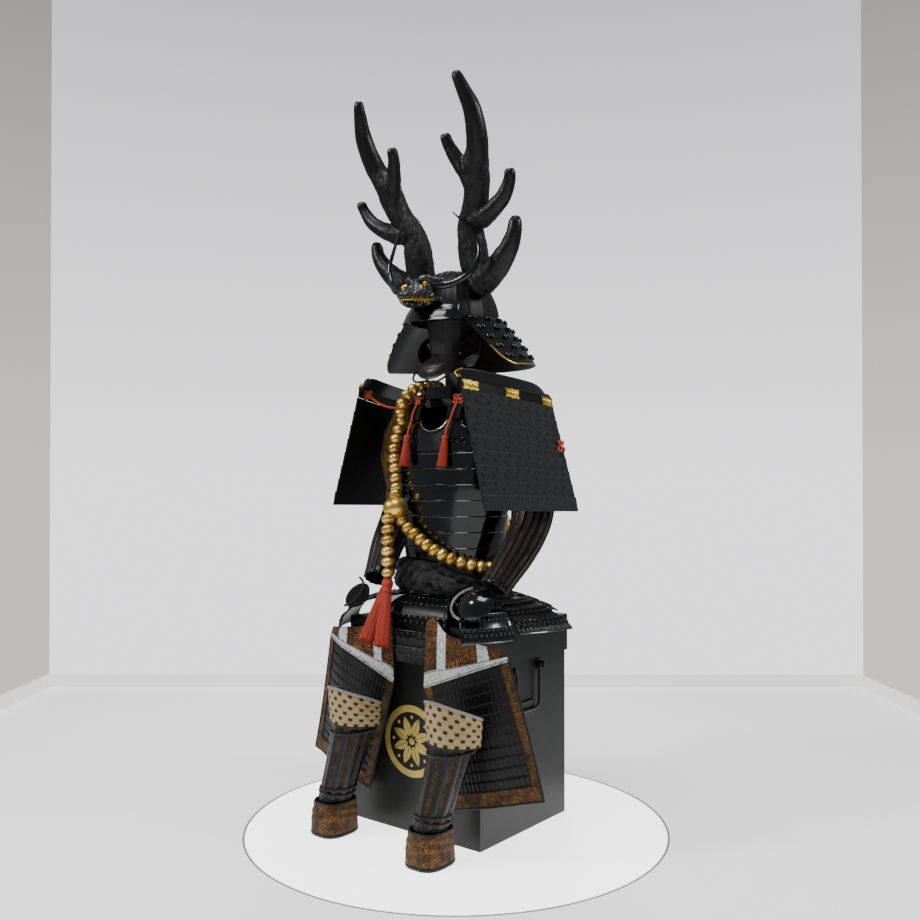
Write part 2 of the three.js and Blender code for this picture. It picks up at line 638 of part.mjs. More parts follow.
// Stand: base plate, post, shoulder bar, cheek rest and a head block that the helmet sits on
const bar = (grow = 0) => block(
  [-STAND.barHalf - grow, STAND.barY - half(STAND.barDepth) - grow, STAND.barTop - STAND.barHeight - grow],
  [STAND.barHalf + grow, STAND.barY + half(STAND.barDepth) + grow, STAND.barTop + grow]);
function stand() {
  const floor = LID.top + GAP;
  const p = half(STAND.post);
  const plate = block([-half(STAND.plateWidth), -half(STAND.plateDepth), floor],
    [half(STAND.plateWidth), half(STAND.plateDepth), floor + STAND.plateThick]);
  const post = block([-p, STAND.barY - p, floor], [p, STAND.barY + p, STAND.headLow + 10]);
  const under = BOWL.thick + GAP + 0.2;
  const ring = (a, b, z) => steps(20).slice(0, 20).map((t) => v3(a * Math.cos(t * 2 * Math.PI),
    BOWL.y + b * Math.sin(t * 2 * Math.PI), z));
  const domed = BOWL_ROWS.slice(3).map((v) => steps(20).slice(0, 20)
    .map((t) => bowlPoint(t * 360, v * BOWL.top, -under)));
  const head = skin([ring(48, 58, STAND.headLow), ring(64, 74, STAND.headLow + 25),
    ring(72, 86, 1350), ...domed]);
  const c = half(STAND.cheekBar);
  const cheeks = block([-MASK.width + 2.4, STAND.cheekBarY - c, STAND.cheekBarZ - c],
    [MASK.width - 2.4, STAND.cheekBarY + c, STAND.cheekBarZ + c]);
  const peg = block([-8, THROAT.y + 2, STAND.pegZ - 8], [8, STAND.barY, STAND.pegZ + 8]);
  return { plate, post, head, cheeks, peg };
}
const standParts = stand();
const outsideMask = join(maskWall(2 * GAP), block([MASK.width - 4, -70, 1240], [MASK.width + 30, -20, 1340])
  .translate(4.2, 0, 0));
const cheekRest = cut(standParts.cheeks, outsideMask, mirrored(outsideMask));
const throatPeg = cut(standParts.peg, throatWall(GAP),
  block([-20, THROAT.y - 40, 1100], [20, THROAT.y - 1, 1200]));
add('stand_frame', join(standParts.plate, standParts.post, bar(), standParts.head, cheekRest,
  throatPeg), wood);

// Cuirass: the upper edge follows the neckline, the shoulder straps and the armholes
function upperEdge(edge, x) {
  const away = Math.abs(x);
  const corner = 0.6;
  if (away < edge.neckHalf) {
    return lerp(edge.neckLow, edge.strapTop, (away / edge.neckHalf) ** 2 * corner);
  }
  if (away < edge.strapHalf) {
    const rest = smooth((away - edge.neckHalf) / 8);
    return lerp(edge.neckLow, edge.strapTop, corner + (1 - corner) * rest);
  }
  return lerp(edge.strapTop, edge.sideTop, smooth((away - edge.strapHalf) / 50));
}
function cuirassWall(front) {
  const edge = front ? FRONT_EDGE : BACK_EDGE;
  const rows = lameRows(DO.lames, DO.step, 0, 0.8);
  const vs = [...rows.vs, 0.86, 0.93, 1];
  const seam = 0.09;
  const at = (u, v) => {
    const degrees = front ? lerp(-seam, -180 + seam, u) : lerp(seam, 180 - seam, u);
    const level = v <= 0.8 ? lerp(DO.hem, DO.lamesTop, v / 0.8)
      : lerp(DO.lamesTop, upperEdge(edge, trunk(degrees, DO.lamesTop).x), (v - 0.8) / 0.2);
    return trunk(degrees, level);
  };
  const last = rows.vs.length;
  return wall({
    at, us: steps(DO.columns), vs, thick: DO.thick,
    raise: (column, row) => (row < last ? (row % 2 ? DO.step : 0) : 1), inside: trunkAxis,
    skipU: 2, skipV: 2,
  });
}
add('cuirass_front', cuirassWall(true), blackPlate);
add('cuirass_back', cuirassWall(false), blackPlate);

// Shoulder straps: y and z along the middle of a strap, from its front end to its back end
const STRAP_LINE = [
  { y: -113.5, z: 1085.6 }, { y: -106, z: 1112 }, { y: -84, z: 1142 }, { y: -50, z: 1160 },
  { y: -15, z: 1165 }, { y: 25, z: 1160 }, { y: 58, z: 1144 }, { y: 79, z: 1120.6 },
];
bothSides((side, sign) => {
  const rings = STRAP_LINE.map((p, i) => {
    const ahead = STRAP_LINE[Math.min(i + 1, STRAP_LINE.length - 1)];
    const behind = STRAP_LINE[Math.max(i - 1, 0)];
    const run = v3(0, ahead.y - behind.y, ahead.z - behind.z).normalize();
    const up = v3(0, -run.z, run.y).multiplyScalar(half(STRAP.thick));
    const middle = v3(70, p.y, p.z);
    const w = v3(STRAP.halfWidth, 0, 0);
    const end = i === 0 || i === STRAP_LINE.length - 1;
    const lift = end ? v3(0, up.y, 0) : up;
    return [middle.clone().add(lift).add(w), middle.clone().add(lift).sub(w),
      middle.clone().sub(lift).sub(w), middle.clone().sub(lift).add(w)];
  });
  add(`shoulder_strap_${side}`, handed(skin(rings), sign), blackPlate);
});

// Sash: a twisted roll of cloth round the waist, over the cuirass hem and the tasset tops
function sash() {
  const profile = [
    [0, 0], [0, 0.34], [0, 0.67], [0, 1], [0.55, 0.98], [0.9, 0.78], [0.8, 0.55], [1, 0.32], [0.6, 0.04],
  ];
  const rings = steps(SASH.columns).slice(0, SASH.columns).map((t) => {
    const degrees = t * 360;
    return profile.map(([out, up], k) => {
      const fold = out > 0 ? SASH.wave * Math.sin(SASH.waves * degrees * DEG + SASH.lean * k) : 0;
      const high = SASH.high - SASH.leftDrop * smooth(Math.cos((degrees + 10) * DEG));
      const z = lerp(SASH.low, high, up);
      return trunk(degrees, z, SASH.stand + out * SASH.swell + fold);
    });
  });
  return skin(rings, true);
}
add('waist_sash', sash(), blackCloth);

// Sash knot at the front: two bunched loops and the wrap between them
function knotGeometry() {
  const centre = trunk(-72, 660, SASH.stand + SASH.swell + SASH.wave + 9);
  const lump = (dx, dz, rx, rz) => {
    const rings = [0.25, 0.75, 1, 0.75, 0.25].map((r, i) => steps(7).slice(0, 7).map((t) => v3(
      centre.x + dx + lerp(-rx, rx, i / 4), centre.y + 12 * r * Math.sin(t * 2 * Math.PI),
      centre.z + dz + rz * r * Math.cos(t * 2 * Math.PI))));
    return skin(rings);
  };
  return join(lump(0, 0, 16, 20), lump(-34, 8, 32, 17), lump(34, -6, 32, 18));
}
add('sash_knot', knotGeometry(), blackCloth);

// Tassets: laced panels that hang from the hem and spread over the lap and the lid
function tassetWall(row) {
  const edge = v3(Math.cos(row.turn * DEG), Math.sin(row.turn * DEG), 0);
  const foot = v3(row.x, row.y, row.z);
  const away = v3(foot.x, foot.y + 20, 0).normalize();
  const hangTo = 0.16;
  const at = (u, v) => {
    const degrees = row.phi + lerp(-row.span, row.span, u);
    if (v <= hangTo) return trunk(degrees, lerp(TASSET.top, TASSET.flare, v / hangTo));
    const t = (v - hangTo) / (1 - hangTo);
    const start = trunk(degrees, TASSET.flare);
    const end = foot.clone().addScaledVector(edge, lerp(-row.half, row.half, u))
      .addScaledVector(away, row.curve * (0.4 - (2 * u - 1) ** 2));
    const out = 1 - (1 - Math.min(t, 1)) ** row.lap;
    const belly = row.bulge * Math.sin(clamp01(t) * Math.PI);
    return v3(lerp(start.x, end.x, out), lerp(start.y, end.y, out), lerp(start.z, end.z, t) + belly);
  };
  const rows = lameRows(TASSET.lames, TASSET.step, hangTo, 1);
  return wall({
    at, us: steps(TASSET.columns), vs: [0, 0.08, ...rows.vs], thick: TASSET.thick,
    raise: (column, r) => (r < 2 ? 0 : rows.rise(r - 2)), inside: () => v3(0, -20, 300), skipV: 2,
  });
}
TASSETS.forEach((row) => {
  add(row.name, tassetWall(row), row.name.includes('front_left') ? glossPlate : blackPlate);
});

// Shoulder guards and their crown plates
function sodePoint(u, v, shift, flare) {
  const at = (corner) => v3(...corner);
  const top = at(SODE.topFront).lerp(at(SODE.topRear), u);
  const low = at(SODE.lowFront).lerp(at(SODE.lowRear), u);
  return top.lerp(low, v).add(v3(SODE.belly * (1 - (2 * u - 1) ** 2), 0, 0)).add(shift)
    .addScaledVector(flare, v);
}
function crownPoint(u, v, shift) {
  const round = 1 - 0.35 * Math.abs(2 * u - 1) ** 8;
  const up = v * (CROWN.band + CROWN.flap) * (v > 0.6 ? round : 1) + GAP;
  const lean = CROWN.lean * clamp01((v - 0.44) / 0.56);
  return sodePoint(u, 0, shift, v3(0, 0, 0)).add(v3(-lean - 0.12 * up, 0, up));
}
bothSides((side, sign) => {
  const shift = sign > 0 ? v3(-SODE.leftIn, 0, 0) : v3(-SODE.rightIn, SODE.rightBack, 0);
  const flare = sign > 0 ? v3(0, 0, 0) : v3(...SODE.rightFlare);
  const rows = lameRows(SODE.lames, SODE.step);
  const inside = (p) => v3(0, shift.y, p.z);
  const sode = wall({
    at: (u, v) => sodePoint(u, v, shift, flare), us: steps(SODE.columns), vs: rows.vs, thick: SODE.thick,
    raise: (column, row) => rows.rise(row) + SODE.knot * ((column + (row >> 1)) % 2), inside,
    skipU: 2, skipV: 2,
  });
  add(`shoulder_guard_${side}`, handed(sode, sign), blackPlate);
  const crown = wall({
    at: (u, v) => crownPoint(u, v, shift), us: [0, 0.05, 0.12, 0.3, 0.5, 0.7, 0.88, 0.95, 1],
    vs: [0, 0.44, 0.72, 1], thick: CROWN.thick, inside,
  });
  add(`crown_plate_${side}`, handed(crown, sign), glossPlate);
});

// Sleeves: open tubes, splinted below the elbow
const sleeveLine = new THREE.CatmullRomCurve3(SLEEVE.map((r) => v3(r.x, r.y, r.z)));
function sleevePoint(u, v) {
  const rows = SLEEVE.map((r, i) => ({ ...r, t: i / (SLEEVE.length - 1) }));
  const t = clamp01(v);
  const run = sleeveLine.getTangent(t);
  const across = v3(1, 0, 0).addScaledVector(run, -run.x).normalize();
  const deep = run.clone().cross(across);
  const turn = u * 2 * Math.PI;
  return sleeveLine.getPoint(t).addScaledVector(run, (v - t) * 600)
    .addScaledVector(across, between(rows, 'across', t, 't') * Math.cos(turn))
    .addScaledVector(deep, between(rows, 'deep', t, 't') * Math.sin(turn));
}
const sleeve = wall({
  at: sleevePoint, us: steps(SLEEVE_CUT.columns).slice(0, SLEEVE_CUT.columns), vs: steps(SLEEVE_CUT.rows),
  thick: SLEEVE_CUT.thick, ring: true,
  raise: (column, row) => (
    row / SLEEVE_CUT.rows > SLEEVE_CUT.splintFrom ? SLEEVE_CUT.splint * (column % 2) : 0),
  inside: (p) => {
    const rows = SLEEVE.slice().reverse();
    return v3(between(rows, 'x', p.z, 'z'), between(rows, 'y', p.z, 'z'), p.z);
  },
});
bothSides((side, sign) => add(`sleeve_${side}`, handed(cut(sleeve, bar(GAP)), sign), brocade));

// Hand guards: domed plates at the cuffs; the grid of a square is drawn in to a disc
function domePoint(hand, u, v) {
  const s = 2 * u - 1;
  const t = 2 * v - 1;
  const x = s * Math.sqrt(Math.max(0, 1 - t * t / 2));
  const y = t * Math.sqrt(Math.max(0, 1 - s * s / 2));
  const down = v3(0, -0.62, -0.78);
  const out = v3(0, -0.78, 0.62);
  return v3(hand.x + x * hand.width, hand.y, hand.z).addScaledVector(down, y * hand.length)
    .addScaledVector(out, HAND.rise * (1 - 0.9 * (x * x + y * y)));
}
bothSides((side, sign) => {
  const hand = HANDS[side];
  add(`hand_guard_${side}`, handed(wall({
    at: (u, v) => domePoint(hand, u, v), us: steps(5), vs: steps(5), thick: HAND.thick,
    inside: () => v3(hand.x, 0, 500),
  }), sign), glossPlate);
});

// Thigh aprons in front of the box
function thighPoint(u, v) {
  const row = (key) => between(THIGH, key, v, 't');
  const x = lerp(row('inX'), row('outX'), u);
  const near = Math.exp(-(((u - KNEE_BULGE.at) / KNEE_BULGE.half) ** 2));
  const knee = KNEE_BULGE.rise * near * smooth((v - 0.68) / 0.32);
  const z = lerp(row('inZ'), row('outZ'), u) + knee;
  const wrap = THIGH_CUT.wrap * smooth((x - THIGH_CUT.wrapFrom) / THIGH_CUT.wrapLength);
  return v3(x, THIGH_CUT.y + wrap, z);
}
function thighWall(grow = 0) {
  const rows = lameRows(THIGH_CUT.rows, THIGH_CUT.step, 0, 0.66);
  const vs = [...rows.vs, 0.68, 0.78, 0.9, 1];
  return wall({
    at: thighPoint, us: steps(10), vs, thick: THIGH_CUT.thick + grow,
    raise: (column, row) => grow + (row < rows.vs.length ? (row % 2 ? THIGH_CUT.step : 0) : 1.6),
    inside: (p) => v3(p.x, 0, p.z), skipU: 2, skipV: 2,
  });
}
bothSides((side, sign) => add(`thigh_guard_${side}`, handed(thighWall(), sign), brocade));

// Shin guards, knee plates and foot covers
const squared = (n) => Math.sign(n) * Math.abs(n) ** (2 / FOOT_POWER);
function shinPoint(leg, u, v) {
  const z = lerp(SHIN.low, SHIN.high, v);
  const swell = Math.max(v, 0) ** 1.6;
  const rx = lerp(SHIN.lowX, SHIN.highX, swell);
  const ry = lerp(SHIN.lowY, SHIN.highY, swell);
  const turn = lerp(90 + SHIN.open, 450 - SHIN.open, u) * DEG;
  return v3(lerp(leg.footX, leg.kneeX, v) + rx * Math.cos(turn),
    lerp(leg.footY, leg.kneeY, v) + ry * Math.sin(turn), z);
}
function kneePoint(leg, u, v) {
  const s = 2 * u - 1;
  const turn = (s * KNEE.reach - 90) * DEG;
  const off = SHIN.splint + KNEE.stand + KNEE.thick + 8 * (v - 0.2) ** 2;
  const arch = 1 - KNEE.fall * Math.abs(s) ** 1.5;
  const z = lerp(KNEE.low, KNEE.low + (leg.plateTop - KNEE.low) * arch, v) - KNEE.tilt * s;
  return v3(leg.kneeX + (SHIN.highX + off) * Math.cos(turn),
    leg.kneeY + (SHIN.highY + off) * Math.sin(turn), z);
}
LEGS.forEach((leg) => {
  const thigh = leg.side === 'left' ? thighWall(GAP) : mirrored(thighWall(GAP));
  const shin = wall({
    at: (u, v) => shinPoint(leg, u, v), us: steps(15), vs: steps(4), thick: SHIN.thick,
    raise: (column) => SHIN.splint * (column % 2),
    inside: (p) => v3(lerp(leg.footX, leg.kneeX, (p.z - SHIN.low) / (SHIN.high - SHIN.low)),
      lerp(leg.footY, leg.kneeY, (p.z - SHIN.low) / (SHIN.high - SHIN.low)), p.z),
  });
  add(`shin_guard_${leg.side}`, cut(shin, thigh), blackPlate);
  add(`knee_plate_${leg.side}`, wall({
    at: (u, v) => kneePoint(leg, u, v), us: steps(8), vs: steps(2), thick: KNEE.thick,
    inside: (p) => v3(leg.kneeX, leg.kneeY, p.z),
  }), beige);
  const layer = (row, inset, z) => steps(12).slice(0, 12).map((t) => v3(
    leg.footX + (row.across - inset) * squared(Math.cos(t * 2 * Math.PI)),
    leg.footY + row.y + (row.deep - inset) * squared(Math.sin(t * 2 * Math.PI)), z));
  const outer = skin(FOOT.map((row) => layer(row, 0, row.z)));
  const inner = skin([
    layer(FOOT[1], FOOT_WALL.side + 1, FOOT_WALL.sole),
    layer(FOOT[2], FOOT_WALL.side, FOOT[2].z),
    layer(FOOT[3], FOOT_WALL.side, FOOT[3].z),
    layer(FOOT[3], FOOT_WALL.side, FOOT[3].z + 5),
  ]);
  add(`foot_cover_${leg.side}`, cut(outer, inner), brocade);
});

// A string of oblate beads along a curve, as one lathe-like skin
function beadString(curve, radius = BEAD.radius) {
  const count = Math.round(curve.getLength() / BEAD.pitch);
  const line = [];
  const radii = [];
  for (let k = 0; k < count; k += 1) {
    for (const [part, r] of [[0, BEAD.waist], [0.28, radius * 0.95], [0.72, radius * 0.95]]) {
      line.push(curve.getPointAt((k + part) / count));
      radii.push(r);
    }
  }
  line.push(curve.getPointAt(1));
  radii.push(BEAD.waist);
  return skin(ringsAlong(line, (i) => [radii[i], radii[i]], BEAD.sides, v3(0.3, 0.9, 0.2)));
}
const strandPoints = [
  ...STRAND.slice(5).map((p) => trunk(p.phi, p.z, p.off)),
  ...OVER_SHOULDER.map((p) => v3(...p)),
  ...STRAND.slice(0, 5).map((p) => trunk(p.phi, p.z, p.off)),
];
const bigBead = trunk(STRAND[5].phi, STRAND[5].z, STRAND[5].off);
const bigBall = (grow) => new THREE.SphereGeometry(1, 10, 7).rotateX(Math.PI / 2)
  .scale(BEAD.big + grow, BEAD.big + grow, BEAD.bigHigh + grow)
  .translate(bigBead.x, bigBead.y, bigBead.z);
const loop = new THREE.CatmullRomCurve3([...strandPoints, bigBead.clone().add(v3(-4, 0, 26))]);
add('beads_loop', join(bigBall(0), beadString(loop)), gold);
const pendants = PENDANTS.map((line) => beadString(new THREE.CatmullRomCurve3(line.map((p) => v3(...p)))));
const yoke = skin(ringsAlong([v3(-100, -184, 821), v3(-122.5, -156, 821)], () => [4, 4], 6, v3(0, 0, 1)));
add('beads_pendant', cut(join(...pendants, yoke), bigBall(GAP)), gold);

// A tassel from its top to its foot: a bound head, and locks that part below it
function tassel(top, foot, size) {
  const run = foot.clone().sub(top);
  const place = (t) => top.clone().addScaledVector(run, t);
  const share = size.headShare;
  const head = skin(ringsAlong([0, 0.2, 0.55, 0.75, 1].map((t) => place(t * share)),
    (i) => Array(2).fill(size.head * [0.55, 1, 0.95, 0.72, 0.95][i]), 9));
  const axis = run.clone().normalize();
  const across = v3(1, 0, 0).addScaledVector(axis, -axis.x).normalize();
  const deep = axis.clone().cross(across);
  const locks = Array.from({ length: size.locks }, (_, i) => {
    const r = Math.sqrt((i + 0.5) / size.locks);
    const turn = i * 2.39996;
    const way = across.clone().multiplyScalar(Math.cos(turn)).addScaledVector(deep, Math.sin(turn));
    const from = place(share * 0.93).addScaledVector(way, r * size.head * 0.8);
    const to = place(1).addScaledVector(way, r * size.spread);
    const radii = [size.lock, size.foot];
    return skin(ringsAlong([from, to], (k) => [radii[k], radii[k]], 3));
  });
  return join(head, ...locks);
}
add('tassel_beads_left', tassel(v3(-83, -202.5, 657), v3(-47, -268, 490), BIG_TASSEL), redSilk);
add('tassel_beads_right', tassel(v3(-106, -173.5, 656.4), v3(-99, -272, 498), BIG_TASSEL), redSilk);
add('tassel_chest_left', tassel(v3(61, -137, 1041), v3(61, -152, 957), SMALL_TASSEL), redSilk);
add('tassel_chest_right', tassel(v3(-72, -139, 1044), v3(-72, -153, 960), SMALL_TASSEL), redSilk);

// Cords: round tubes along hand-laid routes
function cord(route) {
  const path = new THREE.CatmullRomCurve3(route.map((p) => v3(...p)));
  const section = new THREE.Shape(steps(8).slice(0, 8).map((t) => new THREE.Vector2(
    CORD_RADIUS * Math.cos(t * 2 * Math.PI), CORD_RADIUS * Math.sin(t * 2 * Math.PI))));
  const count = Math.ceil(path.getLength() / (5 * CORD_RADIUS));
  return new THREE.ExtrudeGeometry(section, { steps: count, extrudePath: path, bevelEnabled: false });
}
const CORD_LEFT = [
  [74, -94.4, 1140.4], [73, -106, 1125.4], [71, -116, 1107.5], [66, -122, 1084], [62, -131, 1062],
  [61, -137, 1041.4],
];
const CORD_RIGHT = [
  [-66, -94.4, 1140.4], [-67, -106, 1125.4], [-69, -116, 1107.5], [-71, -122, 1084], [-72, -131, 1062],
  [-72, -137, 1044.4],
];
const CORD_RING = [
  [-205.5, -158, 1165], [-188, -154, 1149], [-172, -146, 1135], [-156, -134, 1126], [-138, -114, 1122],
  [-118, -92, 1128], [-101, -80, 1139], [-94.6, -77, 1142],
];
add('cord_chest_left', cord(CORD_LEFT), redSilk);
add('cord_chest_right', cord(CORD_RIGHT), redSilk);
add('cord_ring_right', cord(CORD_RING), redSilk);
const CHIN_CORD = [
  [-58, -118, 1217.2], [-56, -132, 1200], [-46, -140, 1190], [-28, -144, 1185], [-6, -147, 1186],
  [14, -147, 1183], [34, -142, 1184], [50, -132, 1194], [58, -118, 1209.2],
];
add('helmet_cord', cord(CHIN_CORD), blackCloth);

export default model;
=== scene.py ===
import math
import bpy
import numpy as np
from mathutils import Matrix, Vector, noise


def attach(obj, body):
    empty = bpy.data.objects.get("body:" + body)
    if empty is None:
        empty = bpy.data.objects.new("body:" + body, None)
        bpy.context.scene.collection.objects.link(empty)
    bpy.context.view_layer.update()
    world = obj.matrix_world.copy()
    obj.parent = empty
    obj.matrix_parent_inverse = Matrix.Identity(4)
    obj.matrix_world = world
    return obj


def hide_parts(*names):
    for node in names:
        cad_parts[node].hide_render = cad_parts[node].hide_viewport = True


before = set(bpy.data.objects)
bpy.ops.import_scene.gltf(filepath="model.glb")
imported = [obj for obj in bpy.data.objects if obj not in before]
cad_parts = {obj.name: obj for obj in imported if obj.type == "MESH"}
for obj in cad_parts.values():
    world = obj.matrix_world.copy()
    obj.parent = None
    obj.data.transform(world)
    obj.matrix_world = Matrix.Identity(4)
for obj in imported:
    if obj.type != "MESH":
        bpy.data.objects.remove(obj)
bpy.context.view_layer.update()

MM = 0.001
TAU = 2 * math.pi

# The camera, in metres, with its view and its right-hand direction along the floor
CAMERA = (1.72734, -2.17759, 0.951)
VIEW = (-0.62112, 0.78366, 0.009425)
FORWARD, ACROSS = VIEW[:2], (0.784, 0.621)
cam_data = bpy.data.cameras.new("camera")
cam_data.lens = 39.13
cam_data.sensor_width = 36
cam = bpy.data.objects.new("camera", cam_data)
cam.location = CAMERA
cam.rotation_euler = Vector(VIEW).to_track_quat("-Z", "Y").to_euler()
bpy.context.scene.collection.objects.link(cam)
bpy.context.scene.camera = cam

# The world lights the object softly. Behind it, the direction tells the three walls of the room apart: the
# side walls are darker than the back wall, and all the walls are painted darker towards the top as shade.
ROOM_LIGHT, WALL_LIGHT = 0.30, 1.95
WALL_TONES = ((0.0, (0.41, 0.39, 0.378)), (0.088, (0.86, 0.855, 0.90)), (0.902, (0.44, 0.42, 0.405)))
TONE_LOW, TONE_HIGH = 1.08, 0.38
world = bpy.data.worlds.new("studio")
bpy.context.scene.world = world
world.use_nodes = True


class Nodes:
    """Short calls that make the nodes of one tree."""

    def __init__(self, tree):
        self.tree = tree

    def put(self, socket, value):
        if isinstance(value, bpy.types.NodeSocket):
            self.tree.links.new(value, socket)
        else:
            socket.default_value = value

    def node(self, kind, inputs=(), **props):
        n = self.tree.nodes.new(kind)
        for key, value in props.items():
            setattr(n, key, value)
        for key, value in dict(inputs).items():
            self.put(n.inputs[key], value)
        return n

    def math(self, operation, a, b=0.0, c=0.0):
        return self.node("ShaderNodeMath", {0: a, 1: b, 2: c}, operation=operation).outputs[0]

    def ramp(self, fac, *stops, interpolation="LINEAR"):
        r = self.node("ShaderNodeValToRGB", {"Fac": fac})
        band = r.color_ramp
        band.interpolation = interpolation
        while len(band.elements) < len(stops):
            band.elements.new(0.5)
        for element, (place, colour) in zip(band.elements, stops):
            element.position = place
            element.color = (*grey(colour), 1)
        return r.outputs["Color"]

    def mix(self, fac, a, b, blend="MIX"):
        return self.node("ShaderNodeMix", {0: fac, 6: rgba(a), 7: rgba(b)}, data_type="RGBA",
                         blend_type=blend).outputs[2]


def grey(c):
    return c if isinstance(c, tuple) else (c, c, c)


def rgba(c):
    return (*c, 1) if isinstance(c, tuple) and len(c) == 3 else c


def hexed(code):
    """An sRGB hex colour as linear numbers."""
    parts = [int(code[i:i + 2], 16) / 255 for i in (0, 2, 4)]
    return tuple(p / 12.92 if p <= 0.04045 else ((p + 0.055) / 1.055) ** 2.4 for p in parts)


w = Nodes(world.node_tree)
room = world.node_tree.nodes["Background"]
room.inputs[0].default_value = (0.92, 0.93, 1.0, 1)
room.inputs[1].default_value = ROOM_LIGHT
looking = w.node("ShaderNodeTexCoord").outputs["Generated"]
right, ahead = (w.node("ShaderNodeVectorMath", {0: looking, 1: (*way, 0)},
                       operation="DOT_PRODUCT").outputs["Value"] for way in (ACROSS, FORWARD))
aside = w.math("ADD", w.math("DIVIDE", right, ahead), 0.5)
height = w.node("ShaderNodeSeparateXYZ", {0: looking}).outputs[2]
# Painted shade: the walls grow darker with height
shade = w.node("ShaderNodeMapRange", {0: height, 1: 0.0, 2: 0.5, 3: TONE_LOW, 4: TONE_HIGH}).outputs[0]
tones = w.mix(1.0, w.ramp(aside, *WALL_TONES, interpolation="CONSTANT"), shade, "MULTIPLY")
wall = w.node("ShaderNodeBackground", {0: tones, 1: WALL_LIGHT})
seen = w.node("ShaderNodeLightPath").outputs["Is Camera Ray"]
mixed = w.node("ShaderNodeMixShader", {0: seen, 1: room.outputs[0], 2: wall.outputs[0]})
w.put(world.node_tree.nodes["World Output"].inputs[0], mixed.outputs[0])

# Area lights: place, target, size and power
for name, place, target, size, power in (("overhead", (0.2, -1.0, 4.2), (0, 0, 1.0), 1.6, 112),
                                         ("key", (-1.9, -2.7, 3.1), (0, 0, 0.9), 0.6, 100),
                                         ("rim", (2.7, 0.9, 2.8), (0, 0, 1.1), 0.7, 55),
                                         ("back", (-1.6, 2.2, 2.6), (0, 0, 1.1), 1.0, 45)):
    data = bpy.data.lights.new(name, "AREA")
    data.size = size
    data.energy = power
    lamp = bpy.data.objects.new(name, data)
    lamp.location = place
    lamp.rotation_euler = (Vector(target) - Vector(place)).to_track_quat("-Z", "Y").to_euler()
    bpy.context.scene.collection.objects.link(lamp)


class Mat(Nodes):
    """A material with the textures that this scene needs."""

    def __init__(self, name, coords="Object"):
        self.m = bpy.data.materials.new(name)
        self.m.use_nodes = True
        super().__init__(self.m.node_tree)
        self.co = self.node("ShaderNodeTexCoord").outputs[coords]

    def noise(self, scale, detail=3.0, rough=0.55, distortion=0.0, vector=None):
        return self.node("ShaderNodeTexNoise", {
            "Vector": vector or self.co, "Scale": scale, "Detail": detail, "Roughness": rough,
            "Distortion": distortion}).outputs["Fac"]

    def cells(self, scale):
        return self.node("ShaderNodeTexVoronoi", {"Vector": self.co, "Scale": scale}).outputs["Distance"]

    def wave(self, scale, direction="X", distortion=0.0):
        return self.node("ShaderNodeTexWave", {"Vector": self.co, "Scale": scale, "Distortion": distortion},
                         bands_direction=direction).outputs["Fac"]

    def stretched(self, sx, sy, sz):
        return self.node("ShaderNodeMapping", {"Vector": self.co, "Scale": (sx, sy, sz)}).outputs[0]

    def attribute(self, name):
        return self.node("ShaderNodeAttribute", attribute_name=name).outputs["Fac"]

    def bump(self, height, strength=0.4, distance=0.001, normal=None):
        inputs = {"Height": height, "Strength": strength, "Distance": distance}
        if normal is not None:
            inputs["Normal"] = normal
        return self.node("ShaderNodeBump", inputs).outputs[0]

    def finish(self, colour, rough, normal=None, metal=0.0, coat=0.0, sheen=0.0, specular=0.5):
        b = self.tree.nodes["Principled BSDF"].inputs
        for key, value in {"Base Color": rgba(colour), "Roughness": rough, "Metallic": metal,
                           "Coat Weight": coat, "Coat Roughness": 0.12, "Sheen Weight": sheen,
                           "Sheen Roughness": 0.45, "Specular IOR Level": specular}.items():
            self.put(b[key], value)
        if normal is not None:
            self.put(b["Normal"], normal)
        return self.m


def lacquer(name, colour, worn, rough, coat=0.0, grain=60, relief=0.15, specular=0.3):
    k = Mat(name)
    shade = k.mix(k.ramp(k.noise(9, 5, 0.6), (0.42, 0), (0.72, 1)), hexed(colour), hexed(worn))
    gloss = k.math("MULTIPLY_ADD", k.noise(24, 4), 0.18, rough - 0.09)
    return k.finish(shade, gloss, k.bump(k.noise(grain * 8, 3), relief, 0.0004), coat=coat, specular=specular)


def lace_material():
    k = Mat("braid", "UV")
    shade = k.mix(k.noise(8, 4), hexed("070809"), hexed("13171a"))
    # The mask darkens the notches between the lacing blocks: painted shade in these recesses
    shade = k.mix(k.attribute("mask"), shade, hexed("030304"))
    weave = k.bump(k.wave(46, "DIAGONAL", 0.6), 0.5, 0.0006, k.bump(k.wave(60, "X", 0.3), 0.35, 0.0006))
    return k.finish(shade, 0.66, weave, sheen=0.06, specular=0.3)


def brocade_material(name, ground, deep, thread, scale=1.0, coverage=0.5):
    """Woven ground with thin gold lines that wander like contours."""
    k = Mat(name)
    swirl = k.noise(scale, 1.5, 0.5, 1.2, k.stretched(24, 24, 58))
    bands = k.math("PINGPONG", k.math("MULTIPLY", swirl, 8.0), 0.5)
    line = k.ramp(bands, (0.0, 1), (0.13, 0.75), (0.24, 0))
    patch = k.ramp(k.noise(15 * scale, 2), (0.36, 0), (coverage + 0.12, 1))
    base = k.mix(k.noise(34 * scale, 3), hexed(ground), hexed(deep))
    motif = k.math("MULTIPLY", line, patch)
    fleck = k.ramp(k.noise(420, 2), (0.52, 0), (0.66, 0.4))
    shade = k.mix(k.math("MAXIMUM", motif, fleck), base, hexed(thread))
    relief = k.bump(k.wave(900, "DIAGONAL", 0.4), 0.25, 0.0004, k.bump(motif, 0.6, 0.0012))
    return k.finish(shade, k.math("MULTIPLY_ADD", motif, -0.3, 0.78), relief,
                    metal=k.math("MULTIPLY", motif, 0.55), sheen=0.04, specular=0.25)


